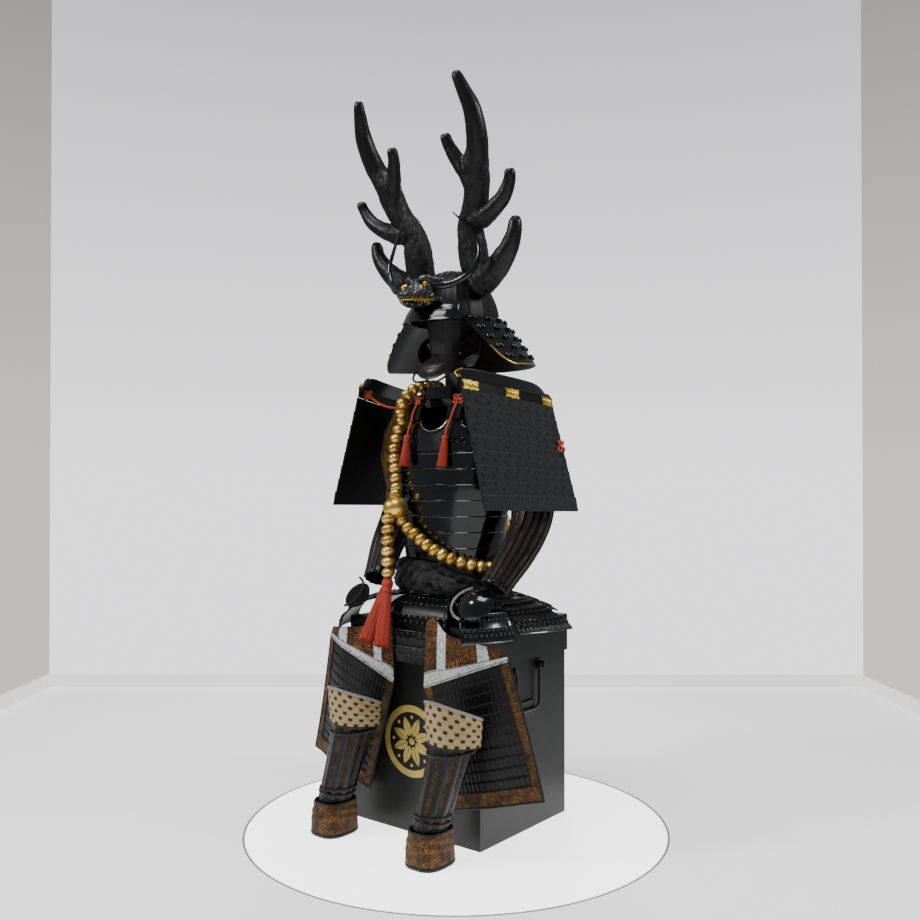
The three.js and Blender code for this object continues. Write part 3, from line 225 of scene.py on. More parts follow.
def silver_material():
    k = Mat("silver_brocade")
    bands = k.math("PINGPONG", k.math("MULTIPLY", k.noise(38, 2, 0.5, 1.6), 7.0), 0.5)
    line = k.ramp(bands, (0.05, 1), (0.22, 0))
    shade = k.mix(k.noise(12, 5, 0.7), hexed("a9ada9"), hexed("eceeea"))
    shade = k.mix(line, shade, hexed("6d726c"))
    relief = k.bump(k.wave(800, "DIAGONAL"), 0.3, 0.0004, k.bump(line, 0.6, 0.001))
    return k.finish(shade, 0.45, relief, metal=0.5, sheen=0.1)


def crepe_material():
    k = Mat("crepe")
    shade = k.mix(k.noise(14, 4), hexed("070708"), hexed("17171a"))
    relief = k.bump(k.noise(95, 6, 0.7, 0.8), 0.9, 0.004, k.bump(k.noise(1500, 2), 0.4, 0.0005))
    return k.finish(shade, 0.8, relief, sheen=0.1, specular=0.3)


def tan_material():
    k = Mat("tan_quilt")
    shade = k.mix(k.noise(40, 5), hexed("85704c"), hexed("ab9970"))
    shade = k.mix(k.ramp(k.noise(180, 3), (0.5, 0), (0.75, 0.6)), shade, hexed("7a643c"))
    shade = k.mix(k.attribute("mask"), shade, hexed("24160e"))
    return k.finish(shade, 0.9, k.bump(k.noise(700, 3), 0.6, 0.0008), sheen=0.05, specular=0.3)


def rope_material():
    """Two twisted strands, one black and one pale."""
    k = Mat("twisted_rope", "UV")
    turns = k.wave(5, "DIAGONAL", 0.0)
    shade = k.mix(k.ramp(turns, (0.50, 0), (0.60, 1)), hexed("0d0d0d"), hexed("c9c8c2"))
    return k.finish(shade, 0.7, k.bump(turns, 0.8, 0.002), sheen=0.1)


def silk_material(name, dark, light):
    k = Mat(name)
    strands = k.noise(1.0, 4, 0.6, 0.0, k.stretched(420, 420, 14))
    shade = k.mix(strands, hexed(dark), hexed(light))
    return k.finish(shade, 0.62, k.bump(strands, 0.6, 0.0012), sheen=0.08, specular=0.3)


def gilt_material(name, dark, light, rough, relief=0.25):
    k = Mat(name)
    shade = k.mix(k.ramp(k.noise(26, 5, 0.65), (0.35, 0), (0.7, 1)), hexed(dark), hexed(light))
    gloss = k.math("MULTIPLY_ADD", k.noise(70, 4), 0.22, rough - 0.1)
    return k.finish(shade, gloss, k.bump(k.noise(340, 4), relief, 0.0008), metal=0.85)


def antler_material():
    k = Mat("antler")
    bark = k.noise(1.0, 7, 0.68, 0.6, k.stretched(62, 62, 30))
    shade = k.mix(bark, hexed("030303"), hexed("0c0c0c"))
    fine = k.bump(k.cells(260), 0.35, 0.0012)
    normal = k.bump(k.math("MULTIPLY", bark, k.attribute("mask")), 0.9, 0.007, fine)
    gloss = k.math("MULTIPLY_ADD", k.noise(30, 4), 0.25, 0.24)
    return k.finish(shade, gloss, normal, coat=0.04, specular=0.24)


def scale_material():
    k = Mat("beast_scales")
    glint = k.ramp(k.noise(420, 2), (0.66, 0), (0.74, 1))
    shade = k.mix(glint, hexed("0c0e0e"), hexed("5c5c50"))
    bump = k.bump(k.cells(120), 0.8, 0.003, k.bump(k.noise(300, 4), 0.4, 0.001))
    return k.finish(shade, 0.32, bump, coat=0.2)


def wood_material(name, dark, light):
    k = Mat(name)
    grain = k.noise(1.0, 6, 0.6, 1.2, k.stretched(9, 60, 60))
    return k.finish(k.mix(grain, hexed(dark), hexed(light)), 0.55, k.bump(grain, 0.25, 0.0008))


def dark_cloth_material():
    k = Mat("dark_binding")
    shade = k.mix(k.noise(60, 4), hexed("060606"), hexed("131211"))
    return k.finish(shade, 0.75, k.bump(k.wave(700, "DIAGONAL", 0.5), 0.5, 0.0006), sheen=0.05, specular=0.3)


M = {
    "plate": lacquer("plate_lacquer", "040505", "0c0e0f", 0.38, 0.04, specular=0.22),
    "gloss": lacquer("gloss_lacquer", "040506", "0b0e10", 0.15, 0.35, relief=0.08),
    "sleek": lacquer("satin_lacquer", "040505", "0a0b0c", 0.32, 0.07, relief=0.08, specular=0.2),
    "box": lacquer("box_lacquer", "0b0c0b", "111211", 0.4, 0.03, 40, 0.06, 0.22),
    "iron": lacquer("black_iron", "060606", "121110", 0.42, 0.05),
    "mask": lacquer("mask_lacquer", "150f0e", "241b19", 0.4, 0.06, specular=0.22),
    "lace": lace_material(),
    "brocade": brocade_material("brocade", "2c1105", "0b0402", "8a5a1e", 1.0, 0.46),
    "border": brocade_material("brocade_border", "2c1406", "0e0602", "7a5522", 2.0, 0.42),
    "mottle": brocade_material("brocade_mottle", "472a12", "1a120b", "b48e44", 3.2, 0.5),
    # A darker copy of the mottled brocade, for where it shows between the splints of the forearms and shins:
    # painted shade
    "mottle_shaded": brocade_material("brocade_shaded", "170d06", "060403", "5e4720", 3.2, 0.5),
    "silver": silver_material(),
    "crepe": crepe_material(),
    "tan": tan_material(),
    "rope": rope_material(),
    "silk": silk_material("red_silk", "741508", "b23a20"),
    "cord": silk_material("red_cord", "8a1c0c", "c2442a"),
    "bead": gilt_material("bead_gilt", "a17c2c", "f6d27a", 0.32),
    "gold": gilt_material("gold_trim", "7a5f1a", "f0cc58", 0.28, 0.5),
    "crest": gilt_material("crest_gold", "a08a48", "bfaa66", 0.5, 0.1),
    "antler": antler_material(),
    "scales": scale_material(),
    "wood": wood_material("stand_wood", "070504", "110d0a"),
    "dark": dark_cloth_material(),
    # Grey stitching, paler than the black lacquer: on the breast the knots are black and the grey is their
    # painted highlight; on the front tassets it is the pale twisted cord along each lame's top
    "stitch": lacquer("stitching_and_painted_glint", "26292a", "5d6061", 0.35, 0.3),
    "ring": lacquer("floor_line", "7c7c7e", "868688", 0.6),
    "disc": lacquer("bright_disc", "f7f7f7", "fafafa", 0.6, relief=0.0),
    "field": lacquer("field_lacquer", "060606", "0f0d0b", 0.46, specular=0.2),
    "inner": lacquer("inner_lining", "040404", "070707", 0.7, specular=0.12),
    "skirting": lacquer("skirting", "dddbd9", "e2e0de", 0.6),
    "floor": lacquer("pale_floor", "f3f3f4", "f7f7f7", 0.6, relief=0.0),
}
# Painted light: the floor, the skirting and above all the disc glow, so that they look brighter than the
# lamps make them
for pale, glow in (("floor", 0.45), ("disc", 2.2), ("skirting", 0.35)):
    surface = M[pale].node_tree.nodes["Principled BSDF"].inputs
    surface["Emission Color"].default_value = (1, 1, 0.99, 1)
    surface["Emission Strength"].default_value = glow


def even(count, a=0.0, b=1.0):
    return np.linspace(a, b, count)


def round_turn(count):
    """Even angles once round, in radians."""
    return even(count + 1, 0, TAU)[:-1]


def bell(x, at, width):
    return np.exp(-((x - at) / width) ** 2)


def link(name, verts, faces, mats, uvs=None, indices=None, mask=None, smooth=True, sharp=42):
    """verts in millimetres; faces a list of index tuples; uvs one pair a loop."""
    me = bpy.data.meshes.new(name)
    me.from_pydata((np.asarray(verts) * MM).tolist(), [], faces)
    for m in mats:
        me.materials.append(M[m])
    if uvs is not None:
        layer = me.uv_layers.new(name="UVMap")
        layer.data.foreach_set("uv", np.asarray(uvs, dtype=np.float32).ravel())
    if indices is not None:
        me.polygons.foreach_set("material_index", np.asarray(indices, dtype=np.int32))
    values = me.attributes.new("mask", "FLOAT", "POINT")
    if mask is not None:
        values.data.foreach_set("value", np.asarray(mask, dtype=np.float32).ravel())
    if smooth:
        me.polygons.foreach_set("use_smooth", [True] * len(me.polygons))
        me.update()
        me.set_sharp_from_angle(angle=math.radians(sharp))
    me.validate()
    me.update()
    obj = bpy.data.objects.new(name, me)
    bpy.context.scene.collection.objects.link(obj)
    return obj


def done(obj, *nodes, body="armour", slot=None):
    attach(obj, body)
    if nodes:
        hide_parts(*nodes)
    return obj


class Bag:
    """Collects small closed shapes into one mesh."""

    def __init__(self):
        self.v, self.f, self.uv, self.m = [], [], [], []
        self.n = 0

    def add(self, verts, faces, uvs=None, mat=0):
        verts = np.asarray(verts, dtype=float).reshape(-1, 3)
        self.v.append(verts)
        self.f.extend([tuple(i + self.n for i in f) for f in faces])
        if uvs is None:
            uvs = np.zeros((sum(len(f) for f in faces), 2))
        self.uv.append(np.asarray(uvs))
        self.m.extend([mat] * len(faces))
        self.n += len(verts)

    def object(self, name, mats, mirror=False, **more):
        verts = np.concatenate(self.v)
        faces = self.f
        uvs = np.concatenate(self.uv)
        if mirror:
            verts = verts * [-1, 1, 1]
            faces = [f[::-1] for f in faces]
            flipped, at = [], 0
            for f in faces:
                flipped.append(uvs[at:at + len(f)][::-1])
                at += len(f)
            uvs = np.concatenate(flipped)
        return link(name, verts, faces, mats, uvs, self.m, **more)


def unit(a):
    return a / np.maximum(np.linalg.norm(a, axis=-1, keepdims=True), 1e-12)


def run_at(line, i):
    """The direction of a line at its point i."""
    return unit(line[min(i + 1, len(line) - 1)] - line[max(i - 1, 0)])


def tube(bag, line, radii, sides=8, side=(1, 0, 0), flat=1.0, closed=False, mat=0):
    """A tube of rings round a line, carried along it without twist."""
    line = np.asarray(line, dtype=float)
    radii = np.broadcast_to(np.asarray(radii, dtype=float), (len(line),))
    across = np.asarray(side, dtype=float)
    a = np.arange(sides) / sides * TAU
    rings = []
    for i, p in enumerate(line):
        run = run_at(line, i)
        across = unit(across - run * across.dot(run))
        deep = np.cross(run, across)
        rings.append(p + radii[i] * (np.cos(a)[:, None] * across + flat * np.sin(a)[:, None] * deep))
    n, s = len(line), sides
    faces, uvs = [], []
    lengths = np.concatenate([[0], np.cumsum(np.linalg.norm(np.diff(line, axis=0), axis=1))]) / 10
    for r in range(n if closed else n - 1):
        q = (r + 1) % n
        l1 = lengths[r]
        l2 = lengths[q] if q else lengths[r] + 1
        for i in range(s):
            j = (i + 1) % s
            faces.append((r * s + i, r * s + j, q * s + j, q * s + i))
            uvs += [(i / s, l1), ((i + 1) / s, l1), ((i + 1) / s, l2), (i / s, l2)]
    if not closed:
        faces.append(tuple(range(s))[::-1])
        faces.append(tuple((n - 1) * s + i for i in range(s)))
        uvs += [(0, 0)] * (2 * s)
    bag.add(np.array(rings), faces, uvs, mat)


def blob(bag, centre, radii, axes=None, nu=12, nv=8, mat=0, power=1.0):
    """An ellipsoid, or a squarer one for a power below 1, along three axes."""
    axes = np.eye(3) if axes is None else np.asarray(axes)
    e = even(nv + 1, -math.pi / 2, math.pi / 2)[1:-1]
    a = np.arange(nu) / nu * TAU

    def soft(x):
        return np.sign(x) * np.abs(x) ** power
    ce, se = soft(np.cos(e)), soft(np.sin(e))
    x = ce[:, None] * soft(np.cos(a))[None, :] * radii[0]
    y = ce[:, None] * soft(np.sin(a))[None, :] * radii[1]
    z = np.repeat(se[:, None], nu, 1) * radii[2]
    local = np.stack([x, y, z], -1).reshape(-1, 3)
    local = np.vstack([local, [0, 0, -radii[2]], [0, 0, radii[2]]])
    rows_in = nv - 1
    faces = grid_faces(rows_in, nu)
    low, high = rows_in * nu, rows_in * nu + 1
    for i in range(nu):
        j = (i + 1) % nu
        faces.append((low, j, i))
        faces.append((high, (rows_in - 1) * nu + i, (rows_in - 1) * nu + j))
    bag.add(np.asarray(centre) + local @ axes, faces, None, mat)


def grid_faces(rings, sides, closed=False):
    """Quads between rings of points, each ring closed on itself."""
    pairs = [(r * sides, (r + 1) % rings * sides) for r in range(rings if closed else rings - 1)]
    return [(a + i, a + (i + 1) % sides, b + (i + 1) % sides, b + i) for a, b in pairs for i in range(sides)]


def lidded(bag, layers, mat=0):
    """A closed body through rings of points."""
    layers = np.asarray(layers)
    n, s = layers.shape[:2]
    ends = [tuple(range(s))[::-1], tuple((n - 1) * s + i for i in range(s))]
    bag.add(layers.reshape(-1, 3), grid_faces(n, s) + ends, None, mat)


def turned(a, b):
    """Three axes with the first along a and the third as near b as can be."""
    x = unit(np.asarray(a, dtype=float))
    z = np.asarray(b, dtype=float)
    z = unit(z - x * z.dot(x))
    return np.array([x, np.cross(z, x), z])


def curve(points, count, closed=False):
    """A smooth line through points, as count points."""
    p = np.asarray(points, dtype=float)
    ends = [p[-1], p, p[0], p[1]] if closed else [2 * p[0] - p[1], p, 2 * p[-1] - p[-2]]
    p = np.vstack(ends)
    spans = len(p) - 3
    out = []
    for t in np.linspace(0, spans, count, endpoint=not closed):
        i = min(int(t), spans - 1)
        f = t - i
        a, b, c, d = p[i:i + 4]
        out.append(0.5 * (2 * b + (c - a) * f + (2 * a - 5 * b + 4 * c - d) * f * f
                          + (3 * b - a - 3 * c + d) * f ** 3))
    return np.array(out)


def frame_of(at, U, V, inside):
    """Points, outward normals, the turn and the direction along u of a surface at (U, V)."""
    d = 1e-3
    P = at(U, V)
    along = at(U + d, V) - at(U - d, V)
    down = at(U, V + d) - at(U, V - d)
    N = unit(np.cross(along, down))
    way = np.sum(N * (P - inside(P)), -1)
    sign = np.where(way < 0, -1.0, 1.0)
    return P, N * sign[..., None], float(np.median(sign)), unit(along), unit(down)


def sheet(name, at, us, vs, thick, inside, mats, rise=None, ring=False, zones=None, mask=None,
          mirror=False, uv=(1, 1), back=0, sharp=42):
    """A closed wall over a grid, raised by rise(U, V), coloured by zones(u, v)."""
    U, V = np.meshgrid(us, vs)
    P, N, sign, _, _ = frame_of(at, U, V, inside)
    R = rise(U, V) if rise else np.zeros_like(U)
    nv, nu = U.shape
    verts = np.concatenate([(P + N * R[..., None]).reshape(-1, 3), (P - N * thick).reshape(-1, 3)])
    half = nv * nu
    cols = nu if ring else nu - 1
    faces, uvs, marks = [], [], []
    du = 1 / nu if ring else 0

    def place(r, c):
        u = U[r, c] if c < nu else U[r, 0] + 1
        return (u * uv[0], V[r, c % nu] * uv[1])

    for r in range(nv - 1):
        for c in range(cols):
            e = (c + 1) % nu
            quad = (r * nu + c, r * nu + e, (r + 1) * nu + e, (r + 1) * nu + c)
            places = [place(r, c), place(r, c + 1), place(r + 1, c + 1), place(r + 1, c)]
            zone = 0
            if zones:
                zone = zones((U[r, c] + (U[r, e] if e else U[r, c] + du)) / 2, (V[r, c] + V[r + 1, c]) / 2)
            far = tuple(i + half for i in quad)
            if sign > 0:
                faces += [quad, far[::-1]]
                uvs += places + places[::-1]
            else:
                faces += [quad[::-1], far]
                uvs += places[::-1] + places
            marks += [zone, back]

    def edge(line, flip):
        for a, b in zip(line[:-1], line[1:]):
            q = (a, a + half, b + half, b)
            faces.append(q[::-1] if flip else q)
            uvs.extend([(0, 0)] * 4)
            marks.append(back)
    top = list(range(nu)) + ([0] if ring else [])
    edge(top, sign < 0)
    edge([i + (nv - 1) * nu for i in top], sign > 0)
    if not ring:
        edge([r * nu for r in range(nv)], sign > 0)
        edge([r * nu + nu - 1 for r in range(nv)], sign < 0)
    k = np.concatenate([mask(U, V).ravel() if mask else np.zeros(half), np.zeros(half)])
    if mirror:
        verts = verts * [-1, 1, 1]
        faces = [f[::-1] for f in faces]
        uvs = np.asarray(uvs).reshape(-1, 4, 2)[:, ::-1].reshape(-1, 2)
    return link(name, verts, faces, mats, uvs, marks, k, sharp=sharp)


def lame_vs(count, start, end, inner):
    """Values of v for rows of lames, with close ones at each lame's proud top edge."""
    step = (end - start) / count
    out = []
    for k in range(count):
        out += [start + step * (k + t) for t in (0.0, 0.02, 0.05, *inner)]
    return np.array(out + [end])


def lame_rise(v, count, start, end, step, top_first=True):
    """How proud a lame stands at v: most at its upper edge, nothing at its lower one."""
    t = np.clip((v - start) / (end - start), 0, 0.99999) * count
    f = t - np.floor(t)
    if not top_first:
        f = 1 - f
    return step * np.clip(f / 0.05, 0, 1) ** 0.5 * (1 - f)


def wave_of(x):
    return np.abs(np.cos(np.pi * x))


def knots_on(bag, at, inside, places, size, lift, mat=0, power=0.8):
    """Small knots at (u, v) places on a surface: size along it, down it and out of it."""
    U, V = np.array([places]).transpose(2, 0, 1)
    P, N, _, A, _ = frame_of(at, U, V, inside)
    for p, n, along in zip(P[0], N[0], A[0]):
        blob(bag, p + n * lift, size, turned(along, n), 8, 6, mat, power)


def edge_line(at, inside, us, vs, lift):
    """A line on a surface, through the places (us, vs), at a height over it."""
    U, V = np.broadcast_arrays(np.atleast_1d(us)[None], np.atleast_1d(vs)[None])
    P, N, _, _, _ = frame_of(at, U.astype(float), V.astype(float), inside)
    return P[0] + N[0] * lift


# Cords: the routes of the solids, in millimetres
ROUTES = {
    "cord_chest_left": [(74, -94.4, 1140.4), (73, -106, 1125.4), (71, -116, 1107.5), (66, -122, 1084),
                        (62, -131, 1062), (61, -137, 1041.4)],
    "cord_chest_right": [(-66, -94.4, 1140.4), (-67, -106, 1125.4), (-69, -116, 1107.5), (-71, -122, 1084),
                         (-72, -131, 1062), (-72, -137, 1044.4)],
    "cord_ring_right": [(-205.5, -158, 1165), (-188, -154, 1149), (-172, -146, 1135), (-156, -134, 1126),
                        (-138, -114, 1122), (-118, -92, 1128), (-101, -80, 1139), (-94.6, -77, 1142)],
    "helmet_cord": [(-58, -118, 1217.2), (-56, -132, 1200), (-46, -140, 1190), (-28, -144, 1185),
                    (-6, -147, 1186), (14, -147, 1183), (34, -142, 1184), (50, -132, 1194),
                    (58, -118, 1209.2)],
}
CORD_RADIUS = 3.0


def free_cord(name, material):
    line = curve(ROUTES[name], 40)
    bag = Bag()
    tube(bag, line, CORD_RADIUS, 12)
    slot = "silk_tassels" if material == "cord" else "black_cloth"
    obj = done(bag.object(name + "_braid", [material]), name, slot=slot)
    path = [[c * MM for c in p] for p in line]
    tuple(path[0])


# Tassels: the head's radius along its length, both as shares
HEAD = [(0, 0.35), (0.06, 0.72), (0.2, 0.98), (0.42, 1.0), (0.55, 0.94), (0.66, 0.80), (0.72, 0.66),
        (0.80, 0.66), (0.88, 0.84), (1.0, 0.96)]
GOLDEN_TURN = 2.39996
SMALL = dict(head=9, spread=14, share=0.22, strands=150, thick=1.1)
LARGE = dict(head=15, spread=20, share=0.2, strands=330, thick=1.35)


def tassel(name, node, top, foot, seed, head, spread, share, strands, thick):
    """A bound head and a fringe of many strands that part and curl a little."""
    top, foot = np.array(top, float), np.array(foot, float)
    run = foot - top
    long = np.linalg.norm(run)
    axis = run / long
    across = unit(np.array([1, 0, 0]) - axis * axis[0])
    deep = np.cross(axis, across)
    pick = np.random.default_rng(seed)
    bag = Bag()
    tube(bag, [top + run * (t * share) for t, _ in HEAD], [r * head for _, r in HEAD], 28)
    for k in range(3):
        a = round_turn(24)
        ring = top + run * (share * (0.70 + 0.05 * k)) + head * 0.70 * (np.cos(a)[:, None] * across
                                                                        + np.sin(a)[:, None] * deep)
        tube(bag, ring, long * 0.008 + 0.5, 6, side=axis, closed=True, mat=1)
    for i in range(strands):
        r = math.sqrt((i + 0.5) / strands)
        turn = i * GOLDEN_TURN + pick.uniform(-0.2, 0.2)
        way = across * math.cos(turn) + deep * math.sin(turn)
        side = np.cross(axis, way)
        start = top + run * (share * 0.92) + way * r * head * 0.80
        end = top + run * pick.uniform(0.955, 1.0) + way * r * spread * pick.uniform(0.9, 1.04)
        bow = pick.uniform(-1, 1) * spread * 0.07
        line = []
        for t in even(7):
            mid = start + (end - start) * t + way * (t ** 0.8 - t) * r * spread * 0.22
            line.append(mid + side * bow * math.sin(math.pi * t * 1.3))
        tube(bag, line, [thick * f for f in (0.9, 1, 1, 1, 1, 0.95, 0.8)], 3)
    return done(bag.object(name, ["silk", "cord"]), node, slot="silk_tassels")


small_left = tassel("chest_tassel_left", "tassel_chest_left", (61, -137, 1041), (61, -152, 957), 3, **SMALL)
small_right = tassel("chest_tassel_right", "tassel_chest_right", (-72, -139, 1044), (-72, -153, 960), 4,
                     **SMALL)
tassel("bead_tassel_left", "tassel_beads_left", (-83, -202.5, 657), (-47, -268, 490), 5, **LARGE)
tassel("bead_tassel_right", "tassel_beads_right", (-106, -173.5, 656.4), (-99, -272, 498), 6, **LARGE)
free_cord("cord_chest_left", "cord")
free_cord("cord_chest_right", "cord")
free_cord("cord_ring_right", "cord")
free_cord("helmet_cord", "crepe")


# Forms shared with the solids, in millimetres
def column(table, key, value, by="z"):
    return np.interp(value, [r[by] for r in table], [r[key] for r in table])


def clamp01(t):
    return np.clip(t, 0, 1)


def smooth(t):
    t = clamp01(t)
    return t * t * (3 - 2 * t)


def lerp(a, b, t):
    return a + (b - a) * t


def stack(x, y, z):
    return np.stack(np.broadcast_arrays(x, y, z), -1).astype(float)


def rows(names, *values):
    return [dict(zip(names, v)) for v in values]


TRUNK = rows(("z", "a", "b", "y"), (600, 143, 110, -25), (660, 140, 106, -25), (700, 138, 103, -25),
             (800, 148, 109, -22), (900, 160, 117, -18), (1000, 164, 121, -14), (1060, 150, 112, -10),
             (1130, 120, 90, -8))
TRUNK_POWER = 2.4


def power_of(n, power):
    return np.sign(n) * np.abs(n) ** power


def trunk(degrees, z, off=0.0):
    """A point of the body's form, at a height and off its surface."""
    degrees, z = np.broadcast_arrays(np.asarray(degrees, float), np.asarray(z, float))
    a, b, y0 = (column(TRUNK, k, z) for k in ("a", "b", "y"))
    x = a * power_of(np.cos(np.radians(degrees)), 2 / TRUNK_POWER)
    y = b * power_of(np.sin(np.radians(degrees)), 2 / TRUNK_POWER)
    nx = power_of(x / a, TRUNK_POWER - 1) / a
    ny = power_of(y / b, TRUNK_POWER - 1) / b
    n = unit(stack(nx, ny, np.zeros_like(nx)))
    return stack(x, y0 + y, z) + n * np.broadcast_to(off, x.shape)[..., None]


def upright(x, y):
    """The point that a surface looks away from, at each point's own height."""
    return lambda P: stack(np.full(P.shape[:-1], float(x)), float(y), P[..., 2])


SIDES = (("left", 1), ("right", -1))
IN_TRUNK = upright(0, -20)


# Box, lid and handles
BAIL = dict(x=231.5, z=430, end=73, eye=61, bend=7, grip=318, corner=22, rod=4.1)


def bevelled(name, material, width):
    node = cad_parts[name]
    for s in node.material_slots:
        s.material = M[material]
    bevel = node.modifiers.new("edge", "BEVEL")
    bevel.width = width
    bevel.segments = 3
    bevel.limit_method = "ANGLE"
    bevel.angle_limit = math.radians(40)


bevelled("box_body", "box", 0.0012)
bevelled("box_lid", "box", 0.0016)
bevelled("stand_frame", "wood", 0.0008)
for side, sign in SIDES:
    bevelled("handle_pad_" + side, "iron", 0.0010)
    for end in ("front", "back"):
        bevelled(f"handle_eye_{side}_{end}", "iron", 0.0006)
    half_line = [(BAIL["end"], BAIL["z"]), (BAIL["eye"], BAIL["z"])]
    half_line += [(59 - BAIL["bend"] * math.sin(t), 423 + BAIL["bend"] * math.cos(t))
                  for t in even(5, 0.3, 1.5)]
    half_line += [(52, 380)]
    half_line += [(30 + BAIL["corner"] * math.cos(t), BAIL["grip"] + BAIL["corner"] * (1 - math.sin(t)))
                  for t in even(8, 0.0, 1.5)]
    whole = [(BAIL["x"], y, z) for y, z in half_line] + [(BAIL["x"], -y, z) for y, z in half_line[::-1]]
    bag = Bag()
    tube(bag, whole, BAIL["rod"], 16)
    done(bag.object("bail_" + side, ["iron"], mirror=sign < 0), "handle_" + side, body="handle_" + side,
         slot="black_iron")


# Gold design on the box: a ring round a rosette of eight slender leaves
CREST = dict(x=-6.0, z=238.0, face=-195.0, outer=94, inner=76, thick=0.7, leaves=8, root=14, leaf=52,
             width=11.5, gap=0.7)


def prism(bag, front, rear):
    """A flat plate between two outlines."""
    n = len(front)
    faces = [tuple(range(n)), tuple(range(2 * n - 1, n - 1, -1))]
    faces += [(i, i + n, (i + 1) % n + n, (i + 1) % n) for i in range(n)]
    bag.add(list(front) + list(rear), faces)


def on_crest(radius, turn):
    x, z = CREST["x"] + radius * math.cos(turn), CREST["z"] + radius * math.sin(turn)
    return np.array([x, CREST["face"], z])


crest = Bag()
lift = np.array([0, CREST["thick"], 0])
ring_out, ring_in = ([on_crest(CREST[edge], a) - lift for a in round_turn(96)] for edge in ("outer", "inner"))
ring_f = []
for i in range(96):
    j = (i + 1) % 96
    ring_f += [(i, j, 96 + j, 96 + i), (i, 192 + i, 192 + j, j), (96 + i, 96 + j, 288 + j, 288 + i)]
crest.add(np.concatenate([ring_out, ring_in, ring_out + lift, ring_in + lift]), ring_f)
for k in range(CREST["leaves"]):
    turn = (k + 0.5) * TAU / CREST["leaves"]
    way = np.array([math.cos(turn), 0, math.sin(turn)])
    side_way = np.array([-way[2], 0, way[0]])
    heart = on_crest(0, 0)
    for s in (-1, 1):
        places = [(t, CREST["width"] * math.sin(math.pi * t ** 0.8) ** 0.9) for t in even(17)]
        places += [(t, 0) for t in even(6, 1, 0)]
        half = [heart + way * (CREST["root"] + CREST["leaf"] * t) + side_way * s * (CREST["gap"] + width)
                for t, width in places]
        half = half if s < 0 else half[::-1]
        prism(crest, [p - lift for p in half], half)
    blob(crest, on_crest(63, turn + TAU / 16), (4.4, 0.9, 4.4))
blob(crest, on_crest(0, 0), (9.5, 1.2, 9.5), nu=20)
done(crest.object("box_design", ["crest"], sharp=30), slot="box_lacquer")


# Helmet
BOWL = dict(width=115, depth=135, rise=150, y=-20, z=1350)
NECK_LAMES = 5


def bowl_point(degrees, e, off=0.0):
    """A point of the bowl, by its turn and its elevation in degrees."""
    turn, r = np.radians(degrees), np.cos(np.radians(e))
    return stack((BOWL["width"] + off) * r * np.cos(turn),
                 BOWL["y"] + (BOWL["depth"] + off) * r * np.sin(turn),
                 BOWL["z"] + (BOWL["rise"] + off) * np.sin(np.radians(e)))


def bowl_angle(z):
    return math.degrees(math.asin((z - BOWL["z"]) / BOWL["rise"]))


def bowl_heart(P):
    return stack(np.zeros(P.shape[:-1]), BOWL["y"], BOWL["z"])


def bowl_rise(U, V):
    ridge = bell((U * 20) % 1, 0.5, 0.10)
    return 0.2 + 1.6 * ridge * (1 - V ** 6)


done(sheet("helmet_bowl_ribbed", lambda U, V: bowl_point(U * 360, V * 83), np.arange(240) / 240,
           even(30), 3, bowl_heart, ["field"], bowl_rise, ring=True), "helmet_bowl", slot="black_plates")
knob = Bag()
tube(knob, [(0, -20, z) for z in (1494, 1497, 1499, 1501)], [22, 21, 14, 8], 24)
done(knob.object("helmet_crown_plate", ["gold"]), slot="beads")


def visor_point(U, V):
    degrees = -90 + lerp(-50, 50, U)
    c, s = np.cos(np.radians(degrees)), np.sin(np.radians(degrees))
    high = bowl_point(degrees, bowl_angle(1386), 5.5)
    low = stack(128 * c, -20 + 166 * s, 1341 + 6 * c ** 2)
    return high + (low - high) * V[..., None] + stack(0 * c, 0 * c, 4 * np.sin(V * np.pi))


def visor_rise(U, V):
    rim = bell(V, 0.97, 0.05) + bell(U, 0.01, 0.012) + bell(U, 0.99, 0.012)
    return 1.2 * np.clip(rim, 0, 1) + 0.8 * bell(V, 0.45, 0.03)


done(sheet("visor_plate", visor_point, even(90), even(26), 2.5, bowl_heart, ["gloss"],
           visor_rise), "helmet_visor", slot="gloss_plates")


def neck_point(U, V):
    corner = 4 * clamp01((V - 0.8) / 0.2) ** 2
    start = lerp(-38, -12, V) + corner
    degrees = lerp(start, 180 - start, U)
    c, s = np.cos(np.radians(degrees)), np.sin(np.radians(degrees))
    flare = np.maximum(V, 0) ** 0.85
    return stack(lerp(BOWL["width"] + 7.6, 222, flare) * c,
                 BOWL["y"] + lerp(BOWL["depth"] + 7.6, 222, flare) * s,
                 lerp(1358, 1238, V) - 14 * V * clamp01(0.6 - s))


NECK_VS = lame_vs(NECK_LAMES, 0, 1, (0.15, 0.35, 0.6, 0.85))
done(sheet("neck_guard_lames", neck_point, even(140), NECK_VS, 3, IN_TRUNK, ["sleek"],
           lambda U, V: lame_rise(V, NECK_LAMES, 0, 1, 3.2)), "neck_guard", slot="black_plates")
neck_knots = Bag()
spots = []
for lame in range(NECK_LAMES):
    for u in even(13, 0.03, 0.97):
        for side_step in (-0.009, 0.009):
            spots.append((u + side_step, lame / NECK_LAMES + 0.05))
knots_on(neck_knots, neck_point, IN_TRUNK, spots, (5.2, 6.4, 4.6), 4.8, 0, 0.6)
done(neck_knots.object("neck_guard_knots", ["gloss"]), slot="black_plates")


neck_edge = Bag()
for u, inward in ((0.0, 1), (1.0, -1)):
    us = [u] * 10 + [u + inward * t for t in even(12, 0.008, 0.13)]
    vs = [*even(10, 0.62, 0.97)] + [1.0] * 12
    tube(neck_edge, edge_line(neck_point, IN_TRUNK, us, vs, 0.6), 1.7, 8)
done(neck_edge.object("neck_guard_edging", ["gold"]), slot="beads")
neck_rim = Bag()
tube(neck_rim, edge_line(neck_point, IN_TRUNK, even(90, 0.13, 0.87), 1.0, -0.8), 2.4, 8)
done(neck_rim.object("neck_guard_rim", ["gloss"]), slot="black_plates")


